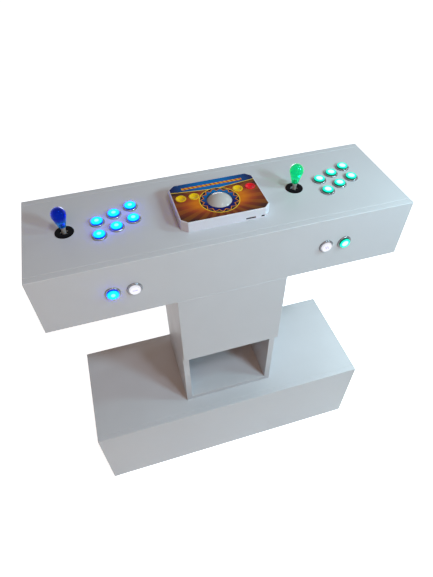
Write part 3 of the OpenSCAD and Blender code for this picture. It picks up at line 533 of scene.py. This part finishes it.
def tinted_acrylic(name, deep, pale, sheen, clear, foot, belly):
    """Clear tinted acrylic of a bat top: deep in the thick crown, paler at the foot, sharp highlights.

    The tint runs with the height, from the foot to the belly (metres), clouded by a noise of 10 mm.
    clear is the share of light let through.
    """
    made, tree, shader, place = new_material(name)
    level = ranged(tree, axes(tree, place)["Z"], foot, belly)
    uneven = calculator(tree)("MULTIPLY_ADD", noise(tree, place, 0.01), 0.4, level)
    plug(shader, {
        "Base Color": ramp(tree, uneven, [(0.2, pale), (1.0, deep)]), "Roughness": 0.03, "IOR": 1.49,
        "Specular Tint": sheen, "Transmission Weight": clear})
    return made


def lit_lens(name, core, core_size, ring, foot, spill, marks=(), ink=None):
    """Translucent lens over a lamp: a pale core, a saturated ring and side, and painted shade at the foot.

    The UV map's v is the share of the plunger's radius on the top, 1 to 1.16 down the side, and 2 below.
    spill is how much stronger the lens shines in red, green and blue than the colours that show on it.
    A mark is a printed bar: its middle (x, z), its slant, and its half length and half width, in metres.
    """
    made, tree, shader, place = new_material(name)
    calc = calculator(tree)
    v = axes(tree, add(tree, "UVMap", uv_map="UVMap").outputs["UV"])["Y"]
    half = calc("MULTIPLY_ADD", v, 0.5, ranged(tree, noise(tree, place, 0.004), 0, 1, -0.012, 0.012))
    # dark is the foot colour: painted shade that dims the glow of the side where it sinks into the bezel
    dark = (*(tone / gain for tone, gain in zip(foot, spill)), 1.0)
    # Stops at half of v: the core's soft edge, a thin painted shade line round the top's edge, the side's
    # foot in painted shade, the skirt
    light = ramp(tree, half, [
        (0.0, core), (1.0, shade(dark, 0.1)), (core_size * 0.42, core), (core_size * 0.58, ring),
        (0.44, ring), (0.46, shade(ring, 0.3)), (0.48, ring), (0.505, ring), (0.512, dark),
        (0.6, dark), (0.7, shade(dark, 0.1))])
    for x, z, slant, long, wide in marks:
        level = add(tree, "VectorRotate", {"Vector": place, "Center": (x, 0.0, z), "Angle": slant},
                    rotation_type="Y_AXIS")
        bar = axes(tree, level.outputs["Vector"])
        inside = calc("MULTIPLY", calc("COMPARE", bar["X"], x, long), calc("COMPARE", bar["Z"], z, wide))
        light = over(tree, inside, light, ink)
    strong = add(tree, "VectorMath", {0: light, 1: spill}, operation="MULTIPLY").outputs["Vector"]
    plug(shader, {
        "Emission Color": strong, "Emission Strength": 1.0, "Base Color": shade(ring, 0.05),
        "Roughness": 0.2, "Specular IOR Level": 0.08})
    return made


def printed_film(ball):
    """Screen-printed polyester film: saturated inks under a satin clear layer.

    A plain geometric print: a zigzag ring round the ball, rays over an amber field that darkens
    towards the edge, and a blue band with a row of slanted dashes along the far side.
    """
    made, tree, shader, place = new_material("printed_film")
    calc = calculator(tree)
    at = axes(tree, place)
    x, y = calc("SUBTRACT", at["X"], ball.x), calc("SUBTRACT", at["Y"], ball.y)
    aside = calc("ABSOLUTE", x)
    yellow = linear("#f3cf3a")
    line = 0.0018

    def lay(mask, below, above):
        return over(tree, mask, below, above)

    def between(value, low, high):
        return calc("MULTIPLY", calc("GREATER_THAN", value, low), calc("LESS_THAN", value, high))

    def hypotenuse(a, b):
        return calc("SQRT", calc("ADD", calc("MULTIPLY", a, a), calc("MULTIPLY", b, b)))

    reach = hypotenuse(x, y)
    angle = calc("DIVIDE", calc("ARCTAN2", y, x), 2 * math.pi)
    # Field with 22 rays that darkens with the elliptical distance sqrt((0.7 x)^2 + (1.5 y)^2)
    far = hypotenuse(calc("MULTIPLY", x, 0.7), calc("MULTIPLY", y, 1.5))
    amber = ramp(tree, calc("MULTIPLY", far, 1 / 0.12), [
        (0.0, linear("#d88414")), (1.0, linear("#2a1414")), (0.36, linear("#cc701c")),
        (0.48, linear("#a04624")), (0.58, linear("#783420")), (0.7, linear("#642c1c")),
        (0.82, linear("#40221e"))])
    ray = calc("GREATER_THAN", calc("FRACT", calc("MULTIPLY", angle, 22.0)), 0.5)
    field = lay(calc("MULTIPLY", ray, 0.1), amber, linear("#e89a20"))
    # Band along the far side, with a shallow chevron edge and a row of slanted dashes 11 mm apart
    band, row_low, row_high, row_end, pitch = 0.046, 0.062, 0.07, 0.077, 0.011
    step = calc("MULTIPLY_ADD", aside, -0.12, y)
    blue = lay(ranged(tree, aside, 0.03, 0.1), linear("#0068b4"), linear("#0a1a50"))
    slope = calc("FRACT", calc("MULTIPLY", calc("MULTIPLY_ADD", y, 0.6, x), 1 / pitch))
    dash = lay(calc("GREATER_THAN", slope, 0.5), linear("#c4561a"), linear("#e8ac1e"))
    row = calc("MULTIPLY", between(y, row_low, row_high), calc("LESS_THAN", aside, row_end))
    field = lay(calc("GREATER_THAN", step, band), field, lay(row, blue, dash))
    field = lay(between(step, band - line, band), field, yellow)
    # Ring round the ball: 15 points of a zigzag between 35 and 43 mm
    rim, low, swing = 0.047, 0.035, 0.016
    tooth = calc("ABSOLUTE", calc("SUBTRACT", calc("FRACT", calc("MULTIPLY", angle, 15.0)), 0.5))
    zigzag = calc("MULTIPLY_ADD", tooth, swing, low)
    inner = lay(ranged(tree, y, -0.01, 0.04), linear("#0c1460"), linear("#0670b8"))
    ring = lay(calc("LESS_THAN", reach, zigzag), linear("#080c30"), inner)
    spark = calc("ABSOLUTE", calc("SUBTRACT", reach, calc("ADD", zigzag, 0.0026)))
    ring = lay(calc("LESS_THAN", spark, 0.0011), ring, linear("#e88a30"))
    field = lay(calc("LESS_THAN", reach, rim), field, ring)
    field = lay(between(reach, rim, rim + line), field, yellow)
    speck = calc("MULTIPLY", noise(tree, place, 0.0012), 0.12)
    plug(shader, {
        "Base Color": lay(speck, field, linear("#1a1412")),
        "Roughness": 0.4, "Specular IOR Level": 0.06})
    return made


def beech_dowel():
    """Fluted beech: pinkish straw with short darker flecks about 2 mm long."""
    return grain_finish(
        "beech", linear("#c8a67a"), spread=0.18, mottle=0.003, grain=0.0012, depth=3e-5, rough=0.6)


def circuit_laminate(name, level):
    """Solder-masked fibreglass: dark green, copper runs 2.5 mm apart, and black parts above a level."""
    made, tree, shader, place = new_material(name)
    runs = add(tree, "TexBrick", {
        "Vector": place, "Scale": 100.0, "Color1": linear("#1c5a38"), "Color2": linear("#17492e"),
        "Mortar": linear("#4a9a52"), "Mortar Size": 0.03, "Brick Width": 0.9, "Row Height": 0.25})
    part = calculator(tree)("GREATER_THAN", axes(tree, place)["Z"], level)
    plug(shader, {
        "Base Color": over(tree, part, runs.outputs["Color"], linear("#0c0c10")),
        "Roughness": 0.4, "Specular IOR Level": 0.2})
    return made


def nylon():
    """Natural nylon: milky white, faintly waxy."""
    return grain_finish(
        "natural_nylon", linear("#e8e4d8"), spread=0.03, mottle=0.01, grain=0.0012, depth=1e-5,
        rough=0.38, Subsurface_Weight=0.15, Subsurface_Scale=0.002)


def cable_jacket():
    """Extruded PVC jacket: soft black with a dull sheen."""
    return grain_finish(
        "pvc_jacket", linear("#1d1e21"), spread=0.15, mottle=0.01, grain=0.0015, depth=2e-5, rough=0.5)


# Operators


def aimed(place, way):
    """A matrix that moves an object to a place and turns its -Z along a way, with Y upwards."""
    return Matrix.Translation(Vector(place)) @ way.to_track_quat("-Z", "Y").to_matrix().to_4x4()


class CABINET_OT_stage(bpy.types.Operator):
    """Camera at the photograph's place, pale floor, soft lamps and a white surround"""

    bl_idname = "cabinet.stage"
    bl_label = "Stage"

    def execute(self, context):
        settings = context.scene.cabinet_stage
        context.scene.view_settings.view_transform = "Standard"
        data = bpy.data.cameras.new("camera")
        data.lens = settings.lens
        data.sensor_width = 36
        camera = show("camera", data)
        roll = Matrix.Rotation(settings.roll, 4, "Z")
        camera.matrix_world = aimed(settings.camera, Vector(settings.direction)) @ roll
        context.scene.camera = camera
        self.floor(settings)
        self.lamps(settings)
        self.surround(settings)
        return {"FINISHED"}

    def floor(self, settings):
        """A level grid just under the cabinet. Its paint adds light only where it is looked at."""
        half, drop = settings.floor_size / 2, 0.4 * MM
        side = np.linspace(-half, half, 9)
        x, y = np.meshgrid(side, side, indexing="ij")
        grid = patch(np.stack([x, y, np.full_like(x, -drop)], -1), closed=False)
        made, tree, shader, place = new_material("pale_floor")
        cloud = noise(tree, place, 0.8, 3.0)
        plug(shader, {
            "Base Color": tones(tree, cloud, linear("#f4f4f4"), linear("#fafafa")), "Roughness": 0.9,
            "Emission Color": linear("#f7fbff"),
            "Emission Strength": calculator(tree)("MULTIPLY", looked_at(tree), settings.floor_white)})
        mesh = bpy.data.meshes.new("floor")
        mesh.from_pydata(grid["points"].tolist(), [], grid["quads"].tolist())
        mesh.materials.append(made)
        floor = show("floor", mesh)

    def lamps(self, settings):
        """Soft square lamps: name, power, place, aim, size and colour."""
        rows = [
            ("front_lamp", settings.front, (0.88, -1.25, 1.9), (-0.4, 0, 1.0), 0.25, "#cdf3ff"),
            ("right_lamp", settings.right, (0.9, -0.46, 1.55), (0, 0, 0.8), 0.15, "#d2fcff"),
            ("side_lamp", settings.side, (0.8, -0.1, 0.78), (0.66, 0, 0.3), 0.3, "#e6ffff"),
            ("rear_right_lamp", settings.rear_right, (1.1, 0.4, 1.8), (0, 0, 0.8), 0.15, "#e8fdff"),
            ("far_lamp", settings.far, (2.54, -5.44, 11.1), (0, 0, 0.7), 1.0, "#eef6ff"),
            ("front_fill", settings.fill, (-0.5, -1.5, 2.3), (0, 0, 0.7), 1.2, "#ffc496"),
            ("low_fill", settings.low_fill, (-1.2, -0.9, 0.8), (0, 0, 0.5), 0.8, "#ffd2ae"),
            ("rear_fill", settings.rear_fill, (0.7, 3.5, 0.42), (0, 0, 0.55), 1.4, "#f4f6ff"),
        ]
        for name, watts, place, aim, size, tone in rows:
            data = bpy.data.lights.new(name, "AREA")
            data.energy = watts
            data.size = size
            data.color = linear(tone)[:3]
            lamp = show(name, data)
            lamp.matrix_world = aimed(place, Vector(aim) - Vector(place))
            lamp.visible_camera = False

    def surround(self, settings):
        """Even light from all round, and white where the camera, a mirror or clear plastic sees it."""
        world = bpy.data.worlds.new("surround")
        bpy.context.scene.world = world
        world.use_nodes = True
        tree = world.node_tree
        tree.nodes.clear()
        even = add(tree, "Background", {"Color": linear("#ffd7b3"), "Strength": settings.ambient})
        white = add(tree, "Background", {"Color": (1, 1, 1, 1), "Strength": 1.0})
        both = add(tree, "MixShader", {
            0: looked_at(tree), 1: even.outputs["Background"], 2: white.outputs["Background"]})
        add(tree, "OutputWorld", {"Surface": both.outputs["Shader"]})


class CABINET_OT_boards(bpy.types.Operator):
    """Boards of the control box, the column and the plinth, with eased edges"""

    bl_idname = "cabinet.boards"
    bl_label = "Boards"

    def execute(self, context):
        settings = context.scene.cabinet_boards
        lacquer = satin_lacquer(tuple(settings.paint))
        for group in (BOX_BOARDS, COLUMN_BOARDS, PLINTH_BOARDS):
            corners = np.array([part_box(node) for node in group])
            lo, hi = corners[:, 0].min(0), corners[:, 1].max(0)
            for node in group:
                made = finish_piece(
                    node + "_lacquered", merged_copy(node), [lacquer], "painted_board", CABINET, (node,))
                weights = self.weights(made.data, node, lo, hi, settings.seam / settings.edge)
                round_edges(made, weights, settings.edge)
        return {"FINISHED"}

    def weights(self, mesh, node, lo, hi, seam):
        """Bevel weight of each edge: 1 on the box's own edges, less where boards meet, 0 elsewhere.

        An edge belongs to a board's outline where both its ends lie on the same two sides of the board.
        """
        a, b = edge_ends(mesh)
        right = (a[:, 0] + b[:, 0]) > 0
        weights = np.zeros(len(a))
        for part in ([right, ~right] if node in PAIRED_BOARDS else [np.ones(len(a), bool)]):
            low = np.minimum(a[part], b[part]).min(0)
            high = np.maximum(a[part], b[part]).max(0)
            on = [np.abs(a[:, k] - s[k]) + np.abs(b[:, k] - s[k]) < NEAR
                  for k in range(3) for s in (low, high)]
            outer = [abs(s[k] - t[k]) < 10 * NEAR for k in range(3) for s, t in ((low, lo), (high, hi))]
            for i, j in combinations(range(6), 2):
                if i // 2 != j // 2:
                    weights[on[i] & on[j] & part] = 1.0 if outer[i] and outer[j] else seam
        return weights


class CABINET_OT_bezels(bpy.types.Operator):
    """Plated bezels of the sixteen push buttons, with their barrels"""

    bl_idname = "cabinet.bezels"
    bl_label = "Button bezels"

    def execute(self, context):
        patches = [turned(self.bezel(context.scene.cabinet_buttons), *button_place(node))
                   for node in TOP_BUTTONS + FRONT_BUTTONS]
        piece("button_bezels_plated", patches, [chrome_plate()], "plated_plastic", CABINET,
              ("button_bezels",))
        return {"FINISHED"}

    def bezel(self, settings):
        """Profile: barrel, upright foot, an elliptical slope, and the lip round the bore."""
        radius, height = settings.bezel_radius / MM, settings.bezel_height / MM
        bore = (settings.plunger_radius + settings.room) / MM
        barrel, depth = settings.barrel_radius / MM, 28.0
        slope, foot, lip, lip_drop = 2.7, 0.7, 0.5, 0.05
        return np.concatenate([
            [(bore, -depth), (barrel, -depth), (barrel, 0), (radius, 0)],
            arc(radius - slope, foot, slope, height - foot, 0, 82, 12),
            arc(bore + lip, height - lip_drop - lip, lip, lip, 90, 180, 6),
            [(bore, -depth)]])


def button_place(node):
    """Where a button's axis meets the panel, and the way it points, from its plunger's CAD box."""
    lo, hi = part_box(node)
    x, y, z = (lo + hi) / 2
    if node in FRONT_BUTTONS:
        return (x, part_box("front_panel")[0].y, z), "-Y"
    return (x, y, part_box("top_panel")[1].z), "Z"


class CABINET_OT_plungers(bpy.types.Operator):
    """Lit plungers of the push buttons, each on its own body, and the bars on the start buttons"""

    bl_idname = "cabinet.plungers"
    bl_label = "Lit plungers"

    def execute(self, context):
        settings = context.scene.cabinet_buttons
        cyan, blue, mint, green, white, ink = (
            tuple(getattr(settings, key)) for key in ("cyan", "blue", "mint", "green", "white", "marks"))
        pale_cyan = linear("#a6ffff")
        plain, greenish, bluish = (1.0, 1.0, 1.0), (1.0, 1.4, 1.1), (1.0, 1.0, settings.glow)
        lenses = {
            "p1": lit_lens("lit_cyan_lens", pale_cyan, 0.36, cyan, blue, bluish),
            "p2": lit_lens("lit_mint_lens", white, 0.6, mint, green, greenish),
        }
        # Bars: shift from the middle and half length in millimetres, and slant in degrees
        bars = {"p1_start_button": [(0, 6.0, 90)], "p2_start_button": [(-2.6, 4.6, -20), (2.6, 4.6, -20)]}
        wide = 0.75 * MM
        for node, rows in bars.items():
            (x, _, z), _ = button_place(node)
            marks = [(x + shift * MM, z, math.radians(90 - slant), long * MM, wide)
                     for shift, long, slant in rows]
            name = "lit_white_lens_" + node[:2]
            # The foot, white darkened to 0.3, is painted shade on the side of the white lens
            lenses[node] = lit_lens(name, white, 0.9, white, shade(white, 0.3), plain, marks, ink)
        slots = {"p2_side_button": "lens_green", **dict.fromkeys(bars, "lens_white")}
        for node in TOP_BUTTONS + FRONT_BUTTONS:
            slot = slots.get(node, "lens_cyan" if node[:2] == "p1" else "lens_mint")
            self.plunger(settings, node, lenses.get(node, lenses[node[:2]]), slot)
        return {"FINISHED"}

    def plunger(self, settings, node, lens, slot):
        """Profile: skirt, rounded shoulder, flat rim, a step down and a low crown z = rise - dish q^2."""
        radius, bezel = settings.plunger_radius / MM, settings.bezel_height / MM
        wall, roof, skirt, shoulder, rim, dish, inset = 1.6, 2.6, -14.0, 1.2, 1.6, 0.5, 1.9
        at, axis = button_place(node)
        lo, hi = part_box(node)
        rise = (at[1] - lo.y if axis == "-Y" else hi.z - at[2]) / MM
        step = radius - shoulder - rim
        q = np.linspace(1, 0, 9)
        crown = np.column_stack([(step - dish) * q, rise - dish * q * q])
        below = [(0, rise - roof), (radius - wall, rise - roof), (radius - wall, skirt), (radius, skirt)]
        # The side starts just inside the bezel
        side = [(radius, bezel - 0.6), (radius, bezel + 1.5)]
        profile = np.concatenate([
            below, side, arc(radius - shoulder, rise - shoulder, shoulder, shoulder, 0, 90, 7),
            [(step, rise)], crown])
        top = len(below) + len(side)
        v = np.concatenate([np.full(len(below), 2.0), (1.16, 1.04), profile[top:, 0] / radius])
        legs = [self.leg(at, axis, out) for out in (inset - radius, radius - inset)]
        piece(node + "_lit", [turned(profile, at, axis, v=v), *legs], [lens], slot, node, (node,))

    def leg(self, at, axis, out):
        """One of the two legs that reach the switch: an upright bar, turned with the button."""
        thick, wide, foot, top, corner = 1.3, 2.5, -30.0, -12.8, 0.4
        made = post(np.array((out - thick, -wide, foot)) * MM, np.array((out + thick, wide, top)) * MM,
                    corner * MM)
        x, y, z = made["points"].T
        made["points"] = np.stack([x, -z, y] if axis == "-Y" else [x, y, z], -1) + np.asarray(at)
        made["uv"][:, 1] = 2.0
        return made


class CABINET_OT_sticks(bpy.types.Operator):
    """Joysticks: tinted bat tops, turned shafts with spring and actuator, and dust washers"""

    bl_idname = "cabinet.sticks"
    bl_label = "Joysticks"

    def execute(self, context):
        settings = context.scene.cabinet_sticks
        steel, black, slippery = turned_steel(), black_plastic(), nylon()
        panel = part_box("top_panel")[1].z
        washers = []
        for player, side, tint in (("p1", "left", "blue"), ("p2", "right", "green")):
            node, shaft, body = "bat_top_" + player, "stick_shaft_" + player, player + "_stick"
            lo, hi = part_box(node)
            x, y = (lo.x + hi.x) / 2, (lo.y + hi.y) / 2
            deep, pale, sheen = (tuple(getattr(settings, side + end)) for end in ("", "_foot", "_sheen"))
            acrylic = tinted_acrylic(
                tint + "_acrylic", deep, pale, sheen, getattr(settings, side + "_clear"),
                lo.z, lo.z + settings.bat_wide)
            bat = self.bat(settings, (hi.x - lo.x) / 2 / MM, (hi.z - lo.z) / MM)
            piece(node + "_clear", [turned(bat, (x, y, lo.z), steps=96)], [acrylic], "clear_" + tint, body,
                  (node,))
            piece(shaft + "_turned", self.shaft(settings, (x, y, panel), (lo.z - panel) / MM),
                  [steel, slippery], "zinc_steel", body, (shaft,))
            washers.append(turned(self.washer(settings), (x, y, panel), steps=96))
        piece("dust_washers_moulded", washers, [black], "black_plastic", CABINET, ("dust_washers",))
        return {"FINISHED"}

    def bat(self, settings, belly, height):
        """Profile: a straight taper that meets the belly's circle as its tangent, then a quarter ellipse.

        From the foot (f, 0) the tangent to a circle of radius R about (0, w) touches it at the angle
        acos(R / sqrt(f^2 + w^2)) - atan(w / f).
        """
        foot, wide = settings.bat_foot / MM, settings.bat_wide / MM
        bore, deep, edge = settings.shaft_radius / MM + FIT, 13.1, 0.6
        touch = math.degrees(math.acos(belly / math.hypot(foot, wide)) - math.atan2(wide, foot))
        return np.concatenate([
            [(0, deep), (bore, deep), (bore, 0.0)], arc(foot - edge, edge, edge, edge, -90, 0, 5),
            arc(0, wide, belly, belly, touch, 0, 7), arc(0, wide, belly, height - wide, 5, 90, 18)])

    def washer(self, settings):
        """Profile of a flat ring with softly rounded upper edges."""
        outer, hole = settings.washer_radius / MM, settings.washer_hole / MM
        thick, edge, lip = 1.6, 0.7, 0.4
        return np.concatenate([
            [(hole, 0), (outer, 0)], arc(outer - edge, thick - edge, edge, edge, 0, 90, 6),
            arc(hole + lip, thick - lip, lip, lip, 90, 180, 5), [(hole, 0)]])

    def shaft(self, settings, at, foot):
        """Shaft with bevelled ends and a tapered shoulder, cross pin, helical spring and actuator."""
        r, shoulder = settings.shaft_radius / MM, settings.shoulder_radius / MM
        low, taper, high, low_bevel, high_bevel = -54.0, 4.0, foot + 13.0, 0.5, 0.6
        rod = [(0, low), (r - low_bevel, low), (r, low + low_bevel), (r, taper), (shoulder, foot),
               (r, foot), (r, high - high_bevel), (r - high_bevel, high), (0, high)]
        pivot, reach, thick, bevel = -16.0, 12.8, 1.5, 0.2
        pin = [(0, -reach), (thick - bevel, -reach), (thick, bevel - reach),
               (thick, reach - bevel), (thick - bevel, reach), (0, reach)]
        bore, outer, bottom, top, edge = r + FIT, 9.0, -45.0, -37.0, 0.4
        actuator = np.concatenate([
            [(bore, bottom), (outer - edge, bottom)],
            arc(outer - edge, bottom + edge, edge, edge, -90, 0, 4),
            arc(outer - edge, top - edge, edge, edge, 0, 90, 4), [(bore, top), (bore, bottom)]])
        turns, wire, coil, upper, drop = 5, 0.6, 5.6, -22.0, 13.8
        s = np.linspace(0, 1, turns * 24 + 1)
        t = 2 * np.pi * turns * s
        helix = np.column_stack([coil * np.cos(t), coil * np.sin(t), upper - drop * s])
        x, y, z = at
        return [
            turned(rod, at), turned(pin, (x, y, z + pivot * MM), "Y", 24),
            tube(helix * MM + np.asarray(at), wire * MM), turned(actuator, at, material=1)]


class CABINET_OT_trackball(bpy.types.Operator):
    """Trackball unit: moulded shell, printed film, ball and dished keys"""

    bl_idname = "cabinet.trackball"
    bl_label = "Trackball unit"

    def execute(self, context):
        settings = context.scene.cabinet_trackball
        lo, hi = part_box("trackball_housing")
        self.shell(settings, lo, hi)
        ball_lo, ball_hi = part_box("trackball_ball")
        centre = (ball_lo + ball_hi) / 2
        radius = (ball_hi.z - ball_lo.z) / 2 / MM
        sphere = arc(0, 0, radius, radius, -90, 90, 65)
        sphere[[0, -1], 0] = 0
        piece("trackball_ball_polished", [turned(sphere, centre, "X", 128)], [cast_resin()], "ball_resin",
              "ball", ("trackball_ball",))
        film = frame["nodes"]["trackball_overlay"]
        film.data.materials.clear()
        film.data.materials.append(printed_film(centre))
        yellow = ("key_yellow", key_plastic("yellow_abs", tuple(settings.yellow)))
        red = ("key_red", key_plastic("red_abs", tuple(settings.red)))
        for node, (slot, plastic) in zip(KEYS, (yellow, yellow, yellow, red)):
            key_lo, key_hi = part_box(node)
            at = ((key_lo.x + key_hi.x) / 2, (key_lo.y + key_hi.y) / 2, hi.z)
            profile = self.key(settings, (key_lo.z - hi.z) / MM, (key_hi.z - hi.z) / MM)
            piece(node + "_moulded", [turned(profile, at)], [plastic], slot, node, (node,))
        return {"FINISHED"}

    def key(self, settings, foot, top):
        """Profile: stem, retaining flange, rounded rim and a bowl z = top - depth (1 - q^2)."""
        radius, edge, under = 12.7, 0.8, -3.3
        stem, bevel, flange = 3.0, 0.3, 1.5
        bowl = radius - settings.key_rim / MM
        roll_in = [(bowl + 0.5, top), (bowl + 0.2, top - 0.06)]
        q = np.linspace(1, 0, 13)
        dish = np.column_stack([bowl * q, top - settings.key_bowl / MM * (1 - q * q)])
        return np.concatenate([
            [(0, foot), (stem - bevel, foot), (stem, foot + bevel), (stem, under - flange),
             (radius + flange, under - flange), (radius + flange, under), (radius, under)],
            arc(radius - edge, top - edge, edge, edge, 0, 90, 6), roll_in, dish[1:]])

    def shell(self, settings, lo, hi):
        """The CAD shell with its upper edge and its upright corners eased."""
        made = finish_piece(
            "trackball_housing_moulded", merged_copy("trackball_housing"),
            [white_plastic(tuple(settings.shell))], "white_plastic", CABINET, ("trackball_housing",))
        a, b = edge_ends(made.data)
        middle = (np.array(lo) + np.array(hi)) / 2
        half = (np.array(hi) - np.array(lo)) / 2
        corner, upright_weight = 15 * MM, 0.4

        def outside(p):
            reach = np.abs(p - middle)
            cut = reach[:, 0] + reach[:, 1] > half[0] + half[1] - corner - NEAR
            return cut | (reach[:, 0] > half[0] - NEAR) | (reach[:, 1] > half[1] - NEAR)

        top = (np.abs(a[:, 2] - hi.z) < NEAR) & (np.abs(b[:, 2] - hi.z) < NEAR)
        upright = np.linalg.norm((a - b)[:, :2], axis=1) < NEAR
        rim = outside(a) & outside(b)
        weights = np.where(top & rim, 1.0, np.where(upright & rim, upright_weight, 0.0))
        round_edges(made, weights, settings.edge, 4)


class CABINET_OT_inner_works(bpy.types.Operator):
    """Finishes of the CAD pieces that stay as they are: fasteners, switches, boards and loom"""

    bl_idname = "cabinet.inner_works"
    bl_label = "Inner works"

    def execute(self, context):
        ready = bpy.data.materials
        finishes = {
            "dowel_beech": beech_dowel(), "zinc_steel": zinc_plate(), "cable_jacket": cable_jacket(),
            "nylon": ready["natural_nylon"], "black_plastic": ready["moulded_black_plastic"],
        }
        slots = {part["node"]: part["material_slot"] for part in frame["record"]["subparts"]}
        for node, shown in frame["nodes"].items():
            finish = finishes.get(slots[node])
            if slots[node] == "circuit_board":
                finish = circuit_laminate(node + "_laminate", self.laminate_top(node))
            if finish and not shown.hide_render:
                shown.data.materials.clear()
                shown.data.materials.append(finish)
        return {"FINISHED"}

    def laminate_top(self, node):
        """Just above the board itself, where its parts begin: the game board lies on spacers."""
        spacers, above = (10.0 if node == "game_board" else 0.0), 1.9
        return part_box(node)[0].z + (spacers + above) * MM


class CABINET_PT_panel(bpy.types.Panel):
    """Sidebar panel with the cabinet's pieces and their settings"""

    bl_idname = "CABINET_PT_panel"
    bl_label = "Arcade cabinet"
    bl_space_type = "VIEW_3D"
    bl_region_type = "UI"
    bl_category = "Cabinet"

    def draw(self, context):
        layout = self.layout
        for made in OPERATORS:
            layout.operator(made.bl_idname)
        for name, group in SETTINGS.items():
            box = layout.box()
            box.label(text=group.__doc__)
            settings = getattr(context.scene, name)
            for key in group.__annotations__:
                box.prop(settings, key)


OPERATORS = (
    CABINET_OT_stage, CABINET_OT_boards, CABINET_OT_bezels, CABINET_OT_plungers, CABINET_OT_sticks,
    CABINET_OT_trackball, CABINET_OT_inner_works)
SETTINGS = {
    "cabinet_stage": StageSettings, "cabinet_boards": BoardSettings, "cabinet_buttons": ButtonSettings,
    "cabinet_sticks": StickSettings, "cabinet_trackball": TrackballSettings}
CLASSES = (*SETTINGS.values(), *OPERATORS, CABINET_PT_panel)


def register():
    for made in CLASSES:
        bpy.utils.register_class(made)
    for name, group in SETTINGS.items():
        setattr(bpy.types.Scene, name, PointerProperty(type=group))


def unregister():
    for name in SETTINGS:
        delattr(bpy.types.Scene, name)
    for made in reversed(CLASSES):
        bpy.utils.unregister_class(made)


def main():
    """Registers the classes and makes every piece in order."""
    register()
    bpy.ops.cabinet.stage()
    bpy.ops.cabinet.boards()
    bpy.ops.cabinet.bezels()
    bpy.ops.cabinet.plungers()
    bpy.ops.cabinet.sticks()
    bpy.ops.cabinet.trackball()
    bpy.ops.cabinet.inner_works()


if __name__ == "__main__":
    main()
